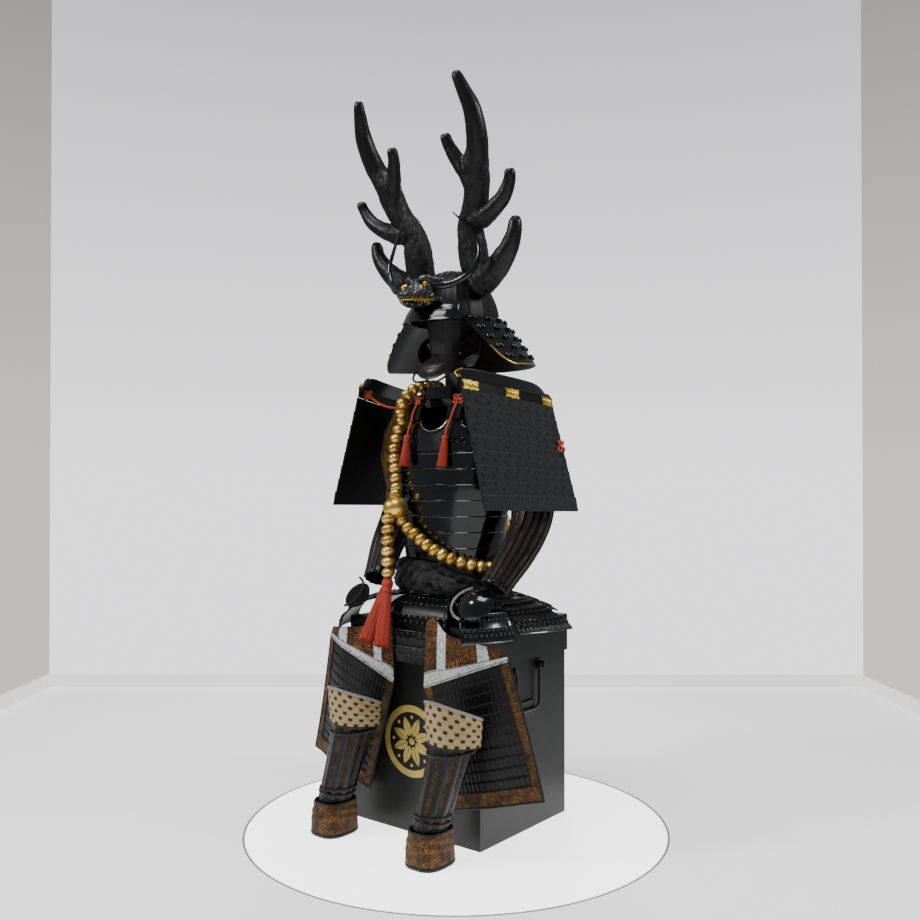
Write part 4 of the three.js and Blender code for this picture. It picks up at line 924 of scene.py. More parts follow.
# Carved shapes: joined, remeshed into one skin and worked over with noise
def carved(name, bag, voxel, rounds, work, mats, mask=None):
    raw = bag.object(name + "_raw", mats, smooth=False)
    remesh = raw.modifiers.new("skin", "REMESH")
    remesh.mode = "VOXEL"
    remesh.voxel_size = voxel * MM
    soften = raw.modifiers.new("soften", "SMOOTH")
    soften.factor = 0.5
    soften.iterations = rounds
    me = bpy.data.meshes.new_from_object(raw.evaluated_get(bpy.context.evaluated_depsgraph_get()))
    bpy.data.objects.remove(raw)
    co = np.empty(len(me.vertices) * 3)
    no = np.empty(len(me.vertices) * 3)
    me.vertices.foreach_get("co", co)
    me.vertices.foreach_get("normal", no)
    co, no = co.reshape(-1, 3) / MM, no.reshape(-1, 3)
    co = co + no * work(co)[:, None]
    me.vertices.foreach_set("co", (co * MM).ravel())
    me.name = name
    me.materials.clear()
    for m in mats:
        me.materials.append(M[m])
    me.polygons.foreach_set("use_smooth", [True] * len(me.polygons))
    if "mask" in me.attributes:
        me.attributes.remove(me.attributes["mask"])
    values = me.attributes.new("mask", "FLOAT", "POINT")
    if mask is not None:
        values.data.foreach_set("value", mask(co).astype(np.float32))
    me.update()
    obj = bpy.data.objects.new(name, me)
    bpy.context.scene.collection.objects.link(obj)
    return obj


def each(co, push):
    """How far every point is pushed out, by push(x, y, z)."""
    return np.array([push(*p) for p in co])


def taper(bag, table, count, sides, grow=1.0):
    line = curve([(r["x"], r["y"], r["z"]) for r in table], count)
    radii = np.interp(even(count), even(len(table)), [r["r"] for r in table])
    tube(bag, line, radii * grow, sides)


XYZR = ("x", "y", "z", "r")
BEAM = rows(XYZR, (88, -34, 1440, 30), (97, -50, 1484, 38), (95, -64, 1544, 37), (100, -78, 1602, 32),
            (130, -96, 1652, 31), (147, -114, 1702, 33), (155, -129, 1742, 34), (174, -146, 1776, 27),
            (185, -166, 1818, 25), (188, -188, 1864, 22), (178, -211, 1908, 17), (170, -226, 1940, 13),
            (168, -229, 1950, 8))
LOWER_TINE = rows(XYZR, (100, -48, 1446, 34), (137, -50, 1463, 34), (176, -58, 1488, 30),
                  (217, -67, 1528, 24), (238, -74, 1564, 19), (243, -76, 1592, 16), (243, -77, 1604, 9))
UPPER_TINE = rows(XYZR, (112, -88, 1604, 25), (147, -94, 1608, 25), (187, -100, 1624, 22),
                  (228, -107, 1650, 19), (252, -115, 1684, 15), (259, -122, 1704, 14), (260, -124, 1713, 9))
INNER_TINE = rows(XYZR, (140, -124, 1700, 26), (129, -135, 1724, 22), (111, -150, 1756, 19),
                  (97, -165, 1790, 15), (93, -176, 1812, 14), (92, -179, 1821, 9))


def rough_low(co):
    """1 low on the beams, where the bark is deep, falling to 0 at the smooth tips."""
    up = clamp01((co[:, 2] - 1560) / 320)
    out = clamp01((np.abs(co[:, 0]) - 150) / 80)
    return 1 - np.maximum(smooth(up), smooth(out))


def bark(co):
    def push(x, y, z):
        p = Vector((x / 16, y / 16, z / 34))
        return 2.6 * noise.fractal(p, 0.9, 2.1, 4) + 1.2 * abs(noise.noise(p * 2.6))
    return each(co, push) * (0.15 + 0.85 * rough_low(co))


for side, sign in SIDES:
    bag = Bag()
    for table, count in ((BEAM, 40), (LOWER_TINE, 24), (UPPER_TINE, 24), (INNER_TINE, 18)):
        flipped = [{**r, "x": r["x"] * sign} for r in table]
        taper(bag, flipped, count, 20, grow=1.08)
    antler = carved("antler_bark_" + side, bag, 3.2, 3, bark, ["antler"], rough_low)
    done(antler, "antler_" + side, slot="black_plates")

CREST_HORN = rows(XYZR, (38, -170, 1436, 9), (92, -158, 1432, 8), (136, -130, 1462, 7), (157, -116, 1512, 6),
                  (143, -114, 1560, 5), (114, -126, 1598, 4), (87, -140, 1626, 1.6))
for side, sign in SIDES:
    bag = Bag()
    taper(bag, CREST_HORN, 60, 14)
    done(bag.object("crest_horn_gloss_" + side, ["gloss"], mirror=sign < 0), "crest_horn_" + side,
         slot="gloss_plates")

beast = Bag()
head_rows = [(-128, 1424, 40, 27), (-150, 1424, 50, 34), (-172, 1424, 49, 33), (-190, 1416, 38, 25),
             (-210, 1408, 28, 17), (-228, 1404, 24, 15), (-238, 1402, 16, 10)]
for (y, z, across, up) in head_rows:
    blob(beast, (0, y, z), (across, 16, up), nu=24, nv=14)
jaw_rows = [(-150, 1396, 34, 12), (-180, 1390, 27, 10), (-208, 1384, 20, 8), (-222, 1384, 12, 6)]
for (y, z, across, up) in jaw_rows:
    blob(beast, (0, y, z - 2), (across, 16, up), nu=20, nv=10)
for sign in (1, -1):
    brow = [(6, -188, 1443), (26, -184, 1453), (46, -160, 1449), (58, -140, 1452)]
    tube(beast, curve([(sign * x, y, z) for x, y, z in brow], 14),
         [4, 5, 7, 8, 9, 9, 9, 8, 8, 7, 6, 5, 4, 2], 10)
    blob(beast, (sign * 12, -233, 1410), (8, 8, 7))
    blob(beast, (sign * 44, -158, 1404), (9, 20, 14))
    for k in range(4):
        root = (sign * (40 + 5 * k), -150 + 6 * k, 1412 - 10 * k)
        tube(beast, [root, (sign * (54 + 6 * k), -140 + 10 * k, 1404 - 14 * k)], [6, 1.5], 8)


def scaly(co):
    def push(x, y, z):
        return 1.6 * noise.fractal(Vector((abs(x) / 9, y / 9, z / 9)), 0.8, 2.0, 3)
    mouth = bell(co[:, 2], 1393 + 0.05 * (co[:, 1] + 200), 2.6) * (co[:, 1] < -168)
    return each(co, push) - 3.2 * mouth


done(carved("crest_beast_head", beast, 2.6, 3, scaly, ["scales"]), "crest_beast", slot="black_plates")
trim = Bag()
for sign in (1, -1):
    slant = np.array([[0.55, -0.8 * sign, 0.22], [0.8 * sign, 0.58, 0.0], [-0.13, 0.17 * sign, 0.97]])
    blob(trim, (sign * 33, -187, 1435), (14, 7.5, 8), unit(slant), nu=20, nv=12)
    for k in range(6):
        y = -180 - 9 * k
        x = sign * (41 - 3.6 * k)
        tube(trim, [(x, y, 1399), (x * 1.02, y, 1390)], [2.6, 0.8], 6)
        if k < 5:
            tube(trim, [(x * 0.97, y - 4, 1386), (x * 0.97, y - 4, 1393)], [2.2, 0.8], 6)
done(trim.object("crest_beast_gilding", ["gold"]), slot="beads")
mouth = curve([(-44, -164, 1397), (-27, -204, 1394), (0, -240, 1392), (27, -204, 1394), (44, -164, 1397)], 30)
lips = Bag()
tube(lips, mouth, 2.1, 8)
done(lips.object("crest_beast_mouth", ["gold"]), slot="beads")
pupils = Bag()
for sign in (1, -1):
    blob(pupils, (sign * 37, -192.6, 1435), (3.2, 2.6, 3.4))
done(pupils.object("crest_beast_pupils", ["gloss"]), slot="gloss_plates")


# Mask and throat plate
def mask_point(U, V):
    turn = np.radians(lerp(-100, 100, U))
    c = 1 - np.cos(turn)
    rise = 36 * (0.85 + 0.25 * np.cos(turn))
    back = c * 62 + 90 * np.maximum(0, c - 0.4) ** 2
    return stack(74 * np.sin(turn) * (1 + 0.06 * V), -128 + back - 8 * (1 - V),
                 1212 + c * 64.6 + rise * (V - 0.5) + 30 * smooth(c) * V)


def mask_rise(U, V):
    rim = bell(V, 0.02, 0.05) + bell(V, 0.98, 0.05)
    return 1.3 * rim + 3.0 * bell(U, 0.5, 0.16) * np.sin(np.pi * clamp01(V)) ** 2


done(sheet("face_mask_lacquered", mask_point, even(90), even(24), 3, upright(0, -50),
           ["mask"], mask_rise), "face_mask", slot="mask")
rivets = Bag()
knots_on(rivets, mask_point, upright(0, -50), [(0.16, 0.5), (0.84, 0.5)], (3.2, 3.2, 2.4), 1.0)
done(rivets.object("face_mask_rivets", ["gold"]), slot="beads")


def throat_point(U, V):
    x = lerp(-62, 62, U)
    return stack(x, -122 + 34 * (x / 62) ** 2 - 6 * V, lerp(1172, 1140, V))


done(sheet("throat_lames", throat_point, even(60), lame_vs(2, 0, 1, (0.2, 0.5, 0.8)), 3, upright(0, 0),
           ["gloss"], lambda U, V: lame_rise(V, 2, 0, 1, 2.4) + 0.5), "throat_guard", slot="gloss_plates")


# Cuirass
HEM, LAMES_TOP = 660, 996
CUIRASS_LAMES, LAMES_SHARE = 8, 0.8
FRONT_EDGE = dict(neckHalf=44, neckLow=1056, strapHalf=92, strapTop=1085, sideTop=1000)
BACK_EDGE = dict(neckHalf=44, neckLow=1112, strapHalf=108, strapTop=1120, sideTop=1034)


def upper_edge(edge, x):
    away = np.abs(x)
    low, top = edge["neckLow"], edge["strapTop"]
    near = lerp(low, top, (away / edge["neckHalf"]) ** 2 * 0.6)
    mid = lerp(low, top, 0.6 + 0.4 * smooth((away - edge["neckHalf"]) / 8))
    far = lerp(top, edge["sideTop"], smooth((away - edge["strapHalf"]) / 50))
    return np.where(away < edge["neckHalf"], near, np.where(away < edge["strapHalf"], mid, far))


def cuirass_at(front):
    edge = FRONT_EDGE if front else BACK_EDGE

    def at(U, V):
        degrees = lerp(-0.09, -179.91, U) if front else lerp(0.09, 179.91, U)
        x = trunk(degrees, LAMES_TOP)[..., 0]
        lames = lerp(HEM, LAMES_TOP, V / LAMES_SHARE)
        above = lerp(LAMES_TOP, upper_edge(edge, x), (V - LAMES_SHARE) / 0.2)
        level = np.where(V <= LAMES_SHARE, lames, above)
        return trunk(degrees, level)
    return at


def cuirass_rise(U, V):
    lames = lame_rise(V, CUIRASS_LAMES, 0, LAMES_SHARE, 3.0, top_first=False)
    welt = 1.4 * bell(V, 0.985, 0.012)
    return np.where(V < LAMES_SHARE, lames, 1.0 + welt)


for front in (True, False):
    name = "cuirass_front" if front else "cuirass_back"
    at = cuirass_at(front)
    vs = LAMES_SHARE - lame_vs(CUIRASS_LAMES, 0, LAMES_SHARE, (0.15, 0.35, 0.6, 0.85))[::-1]
    vs = np.concatenate([vs[:-1], [0.7999], even(16, 0.802, 1)])
    done(sheet(name + "_lames", at, even(150), vs, 3, IN_TRUNK, ["gloss"], cuirass_rise), name,
         slot="black_plates")
    knots = Bag()
    spots = []
    for lame in range(CUIRASS_LAMES):
        for k, u in enumerate(even(46, 0.14, 0.86)):
            if math.sin(k * 12.9 + lame * 4.7) > -0.25:
                spots.append((u, (lame + 0.90) / 10))
    # The knots take the grey stitching: their glints are painted in as a highlight
    knots_on(knots, at, IN_TRUNK, spots, (2.4, 1.3, 1.0), 3.2)
    for lame in range(CUIRASS_LAMES):
        tube(knots, edge_line(at, IN_TRUNK, even(60, 0.01, 0.99), (lame + 0.965) / 10, 2.6), 0.9, 5, mat=1)
    done(knots.object(name + "_stitches", ["stitch", "gloss"]), slot="black_plates")
    bind = Bag()
    tube(bind, edge_line(at, IN_TRUNK, even(40, 0.35, 0.65), 0.992, 1.2), 0.9, 6)
    done(bind.object(name + "_neck_edging", ["gold" if front else "gloss"]), slot="beads")

# Raised welts round the armholes, and looped cords on the breast
welts = Bag()
for sign in (1, -1):
    line = []
    for t in even(24):
        phi = -90 + sign * (34 + 22 * math.sin(math.pi * t) ** 0.8)
        line.append(trunk(phi, 1068 - 120 * t, 4.2).reshape(3))
    tube(welts, line, 2.6, 8)
    for k in range(3):
        centre = trunk(-90 + sign * (22 + 7 * k), 1034 - 3 * k, 5.0).reshape(3)
        ring = [centre + [6 * math.cos(a), -0.6 * math.sin(2 * a), 8 * math.sin(a)] for a in round_turn(20)]
        tube(welts, ring, 1.6, 6, closed=True, side=(0, 1, 0))
done(welts.object("cuirass_welts", ["gloss"]), slot="gloss_plates")

STRAP_LINE = [(-113.5, 1085.6), (-106, 1112), (-84, 1142), (-50, 1160), (-15, 1165), (25, 1160), (58, 1144),
              (79, 1120.6)]
strap = curve([(70, y, z) for y, z in STRAP_LINE], 60)
strap_up = [np.array([0, -run[2], run[1]]) for run in (run_at(strap, i) for i in range(60))]
for side, sign in SIDES:
    bag = Bag()
    rings = []
    a = np.arange(28) / 28 * TAU
    for i, (p, up) in enumerate(zip(strap, strap_up)):
        x = 22 * power_of(np.cos(a), 0.35)
        z = 3.1 * power_of(np.sin(a), 0.6) * (1 + 0.05 * math.cos(i * 1.3))
        rings.append(p + x[:, None] * np.array([1, 0, 0]) + z[:, None] * up)
    lidded(bag, rings)
    for edge in (-19.5, 19.5):
        tube(bag, [p + [edge, 0, 0] + 3.0 * up for p, up in zip(strap, strap_up)], 1.5, 6, mat=1)
    done(bag.object("shoulder_strap_quilted_" + side, ["inner", "dark"], mirror=sign < 0),
         "shoulder_strap_" + side, slot="black_plates")


# Sash
SASH = dict(low=622, high=706, drop=36, swell=24, stand=3.8)


PROFILE = [(0, 0, 0), (0, 0, 0.34), (0, 0, 0.67), (0, 0, 1), (0.55, 0, 0.98), (0.9, 0, 0.78), (0.8, 0, 0.55),
           (1, 0, 0.32), (0.6, 0, 0.04)]
SASH_STEPS = 300
profile = curve(PROFILE, 56, closed=True)[:, [0, 2]]
sash_rings = []
for i in range(SASH_STEPS):
    degrees = i * 360 / SASH_STEPS
    a = math.radians(degrees)
    high = SASH["high"] - SASH["drop"] * float(smooth(math.cos(math.radians(degrees + 10))))
    line = []
    for out, up in profile:
        out = max(out, 0.0)
        p = Vector((math.cos(a) * 3.2, math.sin(a) * 3.2, up * 1.6))
        fold = 3.4 * math.sin(17 * a + 9 * up) + 2.2 * math.sin(29 * a - 14 * up + 1.3)
        fold += 4.0 * noise.noise(p * 2.2) + 2.2 * noise.noise(p * 6.0)
        ridges = 2.6 * math.sin(up * 15 + 2.2 * math.sin(3 * a) + 5 * a)
        off = SASH["stand"] + 0.3 + out * SASH["swell"] + (fold + ridges) * min(1.0, out * 1.6)
        line.append(trunk(degrees, lerp(SASH["low"], high, up), max(off, SASH["stand"])).reshape(3))
    sash_rings.append(line)
sash_rings = np.array(sash_rings)
faces = grid_faces(SASH_STEPS, len(profile), closed=True)
sash_bag = Bag()
sash_bag.add(sash_rings.reshape(-1, 3), [f[::-1] for f in faces])
sash = done(sash_bag.object("sash_twisted", ["crepe"], sharp=80), "waist_sash", slot="black_cloth")

knot_bag = Bag()
centre = trunk(-72, 660, 3.8 + 24 + 5 + 9).reshape(3)
blob(knot_bag, centre, (17, 12, 21), nu=24, nv=16)
for dx, dz, rx, rz, tilt in ((-34, 8, 32, 16, 0.25), (34, -6, 32, 17, -0.2)):
    ax = np.array([[math.cos(tilt), 0, math.sin(tilt)], [0, 1, 0], [-math.sin(tilt), 0, math.cos(tilt)]])
    blob(knot_bag, centre + [dx, 0, dz], (rx, 11, rz), ax, nu=28, nv=16)


def crumple(co):
    def push(x, y, z):
        fold = math.sin(z * 0.42 + 0.05 * x + 2.5 * noise.noise(Vector((x / 30, y / 30, z / 30))))
        return 1.6 * fold + 1.6 * noise.noise(Vector((x / 11, y / 11, z / 9)))
    return each(co, push)


knot = done(carved("sash_knot_folds", knot_bag, 2.4, 2, crumple, ["crepe"]), "sash_knot", slot="black_cloth")


# Tassets
TASSETS = [
    ("tasset_front", -90, 24, 14, -206, 445, 108, 0, 0, 9, 0),
    ("tasset_front_left", -43, 20, 246, -196, 522, 74, 65, 18, 2, 12),
    ("tasset_front_right", -137, 20, -246, -196, 522, 74, -65, 18, 2, 12),
    ("tasset_side_left", 0, 18, 294, 2, 530, 88, 72, 14, 1.2, 12),
    ("tasset_side_right", 180, 18, -294, 2, 530, 88, -72, 14, 1.2, 12),
    ("tasset_back_left", 56, 30, 136, 208, 560, 88, 158, 6, 1, 12),
    ("tasset_back_right", 124, 30, -136, 208, 560, 88, -158, 6, 1, 12),
]
HANG = 0.16
TASSET_LAMES = 4


def tasset_at(phi, span, x, y, z, half, turn, bulge, lap, bow):
    edge = np.array([math.cos(math.radians(turn)), math.sin(math.radians(turn)), 0])
    foot = np.array([x, y, z], float)
    away = unit(np.array([x, y + 20, 0.0]))

    def at(U, V):
        degrees = phi + lerp(-span, span, U)
        upper = trunk(degrees, lerp(HEM - 0.3, 616, V / HANG))
        t = (V - HANG) / (1 - HANG)
        start = trunk(degrees, 616)
        bowed = away * (bow * (0.4 - (2 * U - 1) ** 2))[..., None]
        end = foot + edge * lerp(-half, half, U)[..., None] + bowed
        out = 1 - np.maximum(1 - t, 0) ** lap
        belly = bulge * np.sin(clamp01(t) * np.pi)
        p = start + (end - start) * out[..., None]
        lower = stack(p[..., 0], p[..., 1], lerp(start[..., 2], end[..., 2], t) + belly)
        return np.where((V <= HANG)[..., None], upper, lower)
    return at


def tasset_heart(P):
    return stack(np.zeros(P.shape[:-1]), -20.0, 300.0)


for row in TASSETS:
    name, values = row[0], row[1:]
    at = tasset_at(*values)
    shiny = name in ("tasset_front_left", "tasset_front_right", "tasset_front")

    def tasset_rise(U, V, shiny=shiny):
        rise = np.where(V > HANG, lame_rise(V, TASSET_LAMES, HANG, 1, 3.0), 0)
        last = V > HANG + (1 - HANG) * 0.76
        ribs = 1.5 * wave_of(U * (9 if shiny else 15)) ** 0.5
        rim = bell(U, 0.01, 0.02) + bell(U, 0.99, 0.02)
        return rise + np.where(last, ribs, 0) + np.where(V > HANG, rim, 0)
    lames = lame_vs(TASSET_LAMES, HANG + 0.001, 1, (0.12, 0.25, 0.4, 0.55, 0.7, 0.85))
    vs = np.concatenate([[0, 0.05, 0.1, HANG - 0.002], lames])
    glossy = name == "tasset_front_left"
    skin = "gloss" if glossy else "sleek" if shiny else "plate"
    done(sheet(name + "_lames", at, even(110), vs, 2.5, tasset_heart, [skin], tasset_rise), name,
         slot="gloss_plates" if glossy else "black_plates")
    knots = Bag()
    spots = []
    for lame in range(TASSET_LAMES):
        top = HANG + (1 - HANG) * lame / TASSET_LAMES
        for rank, v in enumerate((0.035, 0.10)):
            for u in even(11, 0.04, 0.96):
                spots.append((min(u + 0.04 * rank, 0.97), top + v))
    if shiny:
        knots_on(knots, at, tasset_heart, spots, (5.0, 3.6, 2.6), 2.6, 0, 0.7)
    else:
        knots_on(knots, at, tasset_heart, spots, (6.0, 5.6, 4.2), 3.2, 0, 0.5)
    for lame in range(TASSET_LAMES):
        v = HANG + (1 - HANG) * (lame / TASSET_LAMES + 0.012)
        tube(knots, edge_line(at, tasset_heart, even(50), v, 2.9), 1.2, 6, mat=1)
    tube(knots, edge_line(at, tasset_heart, even(50), 0.995, 0.4), 1.8, 6, mat=1)
    done(knots.object(name + "_knots", ["gloss" if shiny else "dark", "stitch" if shiny else "gloss"]),
         slot="black_plates")


# Shoulder guards
TOP_F, TOP_R = np.array([207., -247, 1150]), np.array([268., 67, 1115])
LOW_F, LOW_R = np.array([272., -238, 852]), np.array([330., 95, 842])


GUARD_LAMES = 8


def sode_at(shift, stepped=False, flare=(0, 0, 0)):
    def at(U, V):
        mid = ((TOP_F + TOP_R) / 2) * (1 - V[..., None]) + ((LOW_F + LOW_R) / 2) * V[..., None]
        W = (np.floor(np.clip(V, 0, 0.9999) * GUARD_LAMES) + 0.5) / GUARD_LAMES if stepped else V
        span = (TOP_R - TOP_F) * (1 - W[..., None]) + (LOW_R - LOW_F) * W[..., None]
        p = mid + span * (U - 0.5)[..., None]
        return p + stack(12 * (1 - (2 * U - 1) ** 2), 0, 0) + np.array(shift) + np.array(flare) * V[..., None]
    return at


def sode_rise(U, V):
    lames = lame_rise(V, GUARD_LAMES, 0, 1, 3.2)
    row_at = V * GUARD_LAMES
    last = row_at >= GUARD_LAMES - 1
    ribs = np.where(last, 1.6 * wave_of(U * 30) ** 0.6, 0.55 * wave_of(U * 54))
    return lames + 0.6 + ribs - 2.3 * sode_pits(U, V)


def sode_pits(U, V):
    """The notches between the blocks of lacing, sunk into the surface and darkened in the braid's colour as
    painted shade, shifted from lame to lame.
    """
    row_at = np.clip(V * GUARD_LAMES, 0, 7.999)
    lame = np.floor(row_at)
    f = row_at - lame
    total = np.zeros_like(U)
    for level, half_step in ((0.30, 0.0), (0.72, 0.33)):
        x = U * 9.5 + lame * 0.37 + half_step
        off = np.abs((x % 1) - 0.5)
        total = np.maximum(total, np.exp(-(off / 0.105) ** 4 - (np.abs(f - level) / 0.14) ** 4))
    return np.where(row_at >= 7.25, total * 0, total)


def crown_at(shift):
    base = sode_at(shift)

    def at(U, V):
        round_off = 1 - 0.35 * np.abs(2 * U - 1) ** 8
        up = V * 61 * np.where(V > 0.6, round_off, 1) + 0.3
        lean = 20 * clamp01((V - 0.44) / 0.56)
        return base(U, V * 0) + stack(-lean - 0.12 * up, 0, up)
    return at


def crown_rise(U, V):
    joint = 1.6 * bell(V, 0.44, 0.02)
    rim = 1.3 * bell(V, 0.985, 0.02)
    return joint * 0.6 + rim + np.where(V < 0.44, 1.2, 0)


GUARD_PLACES = (("left", 1, (-6, 0, 0), (0, 0, 0)), ("right", -1, (-1, 57, 0), (25, -15, 0)))
# The outline of a fitting on the crown plates, along it and down it
FITTING = [(-25, -12), (-20, 0), (-25, 12), (-8, 11), (0, 13), (8, 11), (25, 12), (20, 0), (25, -12),
           (8, -11), (0, -13), (-8, -11)]
for side, sign, shift, flare in GUARD_PLACES:
    at = sode_at(shift, stepped=True, flare=flare)
    inside = upright(0, shift[1])
    vs = lame_vs(GUARD_LAMES, 0, 1, even(12, 0.12, 0.93))
    done(sheet("shoulder_guard_lacing_" + side, at, even(215), vs, 3, inside, ["lace", "inner"], sode_rise,
               mask=sode_pits, mirror=sign < 0, uv=(3.2, 3.0), back=1, sharp=60), "shoulder_guard_" + side,
         slot="black_plates")
    crown = crown_at(shift)
    done(sheet("crown_plate_lacquer_" + side, crown, even(90), even(40), 4, inside, ["sleek"],
               crown_rise, mirror=sign < 0), "crown_plate_" + side, slot="gloss_plates")
    trim = Bag()
    for u in (0.085, 0.5, 0.93):
        P, N, _, A, D = frame_of(crown, np.array([[u]]), np.array([[0.21]]), inside)
        p, n, along, down = P[0, 0], N[0, 0], A[0, 0], D[0, 0]
        flat = [p + along * x + down * z for x, z in FITTING]
        prism(trim, [q + n * 2.6 for q in flat], [q + n * 0.6 for q in flat])
        for x in (-11, 0, 11):
            blob(trim, p + along * x + n * 2.6, (5.4, 7.6, 3.0), turned(along, n), 10, 6)
        for x in (-20, 20):
            blob(trim, p + along * x + n * 2.6, (2.4, 7, 1.6), turned(along, n), 8, 5)
    us, vs = [0.004] * 8 + [0.02, 0.05, 0.08], [*even(8, 0.46, 0.94)] + [0.985] * 3
    tube(trim, edge_line(crown, inside, us, vs, 1.8), 1.7, 8)
    done(trim.object("crown_fittings_" + side, ["gold"], mirror=sign < 0, sharp=35), slot="beads")
    rims = Bag()
    for u in (0.0, 1.0):
        for lame in range(GUARD_LAMES):
            vs = [(lame + f) / GUARD_LAMES for f in (0.03, 0.3, 0.6, 0.97)]
            tube(rims, edge_line(at, inside, u, vs, 0.6), 2.2, 8)
    tube(rims, edge_line(at, inside, even(60), 0.999, 0.4), 2.2, 8)
    done(rims.object("shoulder_guard_binding_" + side, ["dark"], mirror=sign < 0), slot="black_plates")


# Sleeves and hand guards
SLEEVE = [(160, -10, 1142, 42, 56), (180, -6, 1095, 46, 52), (214, 0, 1040, 52, 54), (230, 8, 980, 52, 55),
          (222, 18, 915, 49, 56), (227, 26, 850, 55, 57), (233, 0, 795, 50, 50), (229, -45, 735, 44, 44),
          (214, -88, 680, 40, 38), (204, -115, 645, 37, 34)]
SLEEVE_LINE = curve([r[:3] for r in SLEEVE], 181)


def sleeve_at(U, V):
    t = clamp01(V)
    x = t * 180
    i = np.clip(x.astype(int), 0, 179)
    f = (x - i)[..., None]
    centre = SLEEVE_LINE[i] * (1 - f) + SLEEVE_LINE[i + 1] * f
    j0, j1 = np.maximum(i - 4, 0), np.minimum(i + 5, 180)
    run = unit(SLEEVE_LINE[j1] - SLEEVE_LINE[j0])
    across = np.zeros_like(run)
    across[..., 0] = 1
    across = unit(across - run * run[..., :1])
    deep = np.cross(run, across)
    ts = even(len(SLEEVE))
    ra = np.interp(t, ts, [r[3] for r in SLEEVE])[..., None]
    rd = np.interp(t, ts, [r[4] for r in SLEEVE])[..., None]
    turn = (U * TAU)[..., None]
    return centre + run * ((V - t) * 600)[..., None] + across * ra * np.cos(turn) + deep * rd * np.sin(turn)


def sleeve_heart(P):
    table = SLEEVE[::-1]
    zs = [r[2] for r in table]
    x, y = (np.interp(P[..., 2], zs, [r[k] for r in table]) for k in (0, 1))
    return stack(x, y, P[..., 2])


def splint_at(u):
    """How far u has come through one of the 14 splints and the gap after it."""
    return (u * 14 + 0.25) % 1


def sleeve_rise(U, V):
    strip = splint_at(U) / 0.5
    bar = np.where(strip < 1, np.sin(np.pi * clamp01(strip)) ** 0.5, 0)
    low = smooth((V - 0.52) / 0.06)
    ends = bell(V, 0.985, 0.015)
    wrinkle = 1.3 * np.sin(V * 60 + 3 * np.sin(U * TAU)) * (1 - low)
    return wrinkle + 2.4 * bar * low + 1.6 * ends + 0.8


# Zone 3 gives the brocade between the forearm splints its darker copy, as painted shade
def sleeve_zone(u, v):
    if v > 0.955 or (v > 0.54 and splint_at(u) < 0.62):
        return 1
    return 3 if v > 0.54 else 0


# The solids of the hand guards, and their visible domes: centre, half width, half length and rise
HANDS = dict(left=(213, -212, 614, 64, 48, 26), right=(226, -205, 614, 50, 48, 26))
DOMES = dict(left=(221, -212, 616, 54, 46, 26), right=(207, -190, 604, 40, 40, 14))


def hand_point(U, V, x0, y0, z0, width, length, rise):
    s, t = 2 * U - 1, 2 * V - 1
    x = s * np.sqrt(np.maximum(0, 1 - t * t / 2))
    y = t * np.sqrt(np.maximum(0, 1 - s * s / 2))
    down, out = np.array([0, -0.62, -0.78]), np.array([0, -0.78, 0.62])
    p = stack(x0 + x * width, y0, z0)
    return p + down * (y * length)[..., None] + out * (rise * (1 - 0.9 * (x * x + y * y)))[..., None]


def hand_heart(P):
    return stack(np.full(P.shape[:-1], 215.0), 0.0, 500.0)


def to_edge(turn):
    """The way from the middle of the unit square to its edge, at a turn."""
    return 0.5 * min(1 / abs(math.cos(turn) or 1e-9), 1 / abs(math.sin(turn) or 1e-9))


for side, sign in SIDES:
    sleeve = sheet("sleeve_cloth_" + side, sleeve_at, np.arange(168) / 168, even(150), 2.4, sleeve_heart,
                   ["mottle", "sleek", "dark", "mottle_shaded"], sleeve_rise, ring=True, zones=sleeve_zone,
                   mirror=sign < 0, back=2)
    done(sleeve, "sleeve_" + side, slot="brocade")
    # The right hand guard's dome takes the matt black lining where the left one has glossy lacquer: painted
    # shade on the right
    dome = sheet("hand_guard_dome_" + side, lambda U, V: hand_point(U, V, *DOMES[side]), even(40), even(40),
                 2.5, hand_heart, ["gloss" if sign > 0 else "inner"], mirror=sign < 0)
    done(dome, "hand_guard_" + side, slot="gloss_plates")
    rope = Bag()
    turns = even(33, 0.62 * math.pi, 1.36 * math.pi)
    us = np.array([[0.5 + math.cos(a) * to_edge(a) for a in turns]])
    vs = np.array([[0.5 + math.sin(a) * to_edge(a) for a in turns]])
    tube(rope, hand_point(us, vs, *HANDS[side])[0] + [0, -1.5, 1.2], 3.4, 10, side=(0, 0, 1))
    # The right rope is plain dark cloth instead of the pale twisted rope: painted shade
    done(rope.object("hand_guard_rope_" + side, ["rope" if sign > 0 else "dark"], mirror=sign < 0),
         slot="black_cloth")


# Thigh guards
THIGH_T = [0.0, 0.68, 1.0]
THIGH_LAMES, FIELD_LOW, FIELD_TOP, FIELD_SIDE = 11, 0.075, 0.66, 0.085
THIGH = dict(inX=[140, 52, 60], inZ=[95, 395, 538], outX=[393, 304, 292], outZ=[155, 492, 512])


def thigh_point(U, V):
    row = {k: np.interp(V, THIGH_T, values) for k, values in THIGH.items()}
    x = lerp(row["inX"], row["outX"], U)
    knee = 36 * bell(U, 0.1, 0.13) * smooth((V - 0.68) / 0.32)
    z = lerp(row["inZ"], row["outZ"], U) + knee
    wrap = 42 * smooth((x - 232) / 160)
    return stack(x, -212 + wrap, z)


def thigh_zone(u, v):
    if v > 0.745:
        return 2 if 0.17 < u < 0.28 or 0.70 < u < 0.83 else 0
    if v > 0.665:
        return 2
    if u < FIELD_SIDE or u > 1 - FIELD_SIDE or v < FIELD_LOW:
        return 1
    return 3


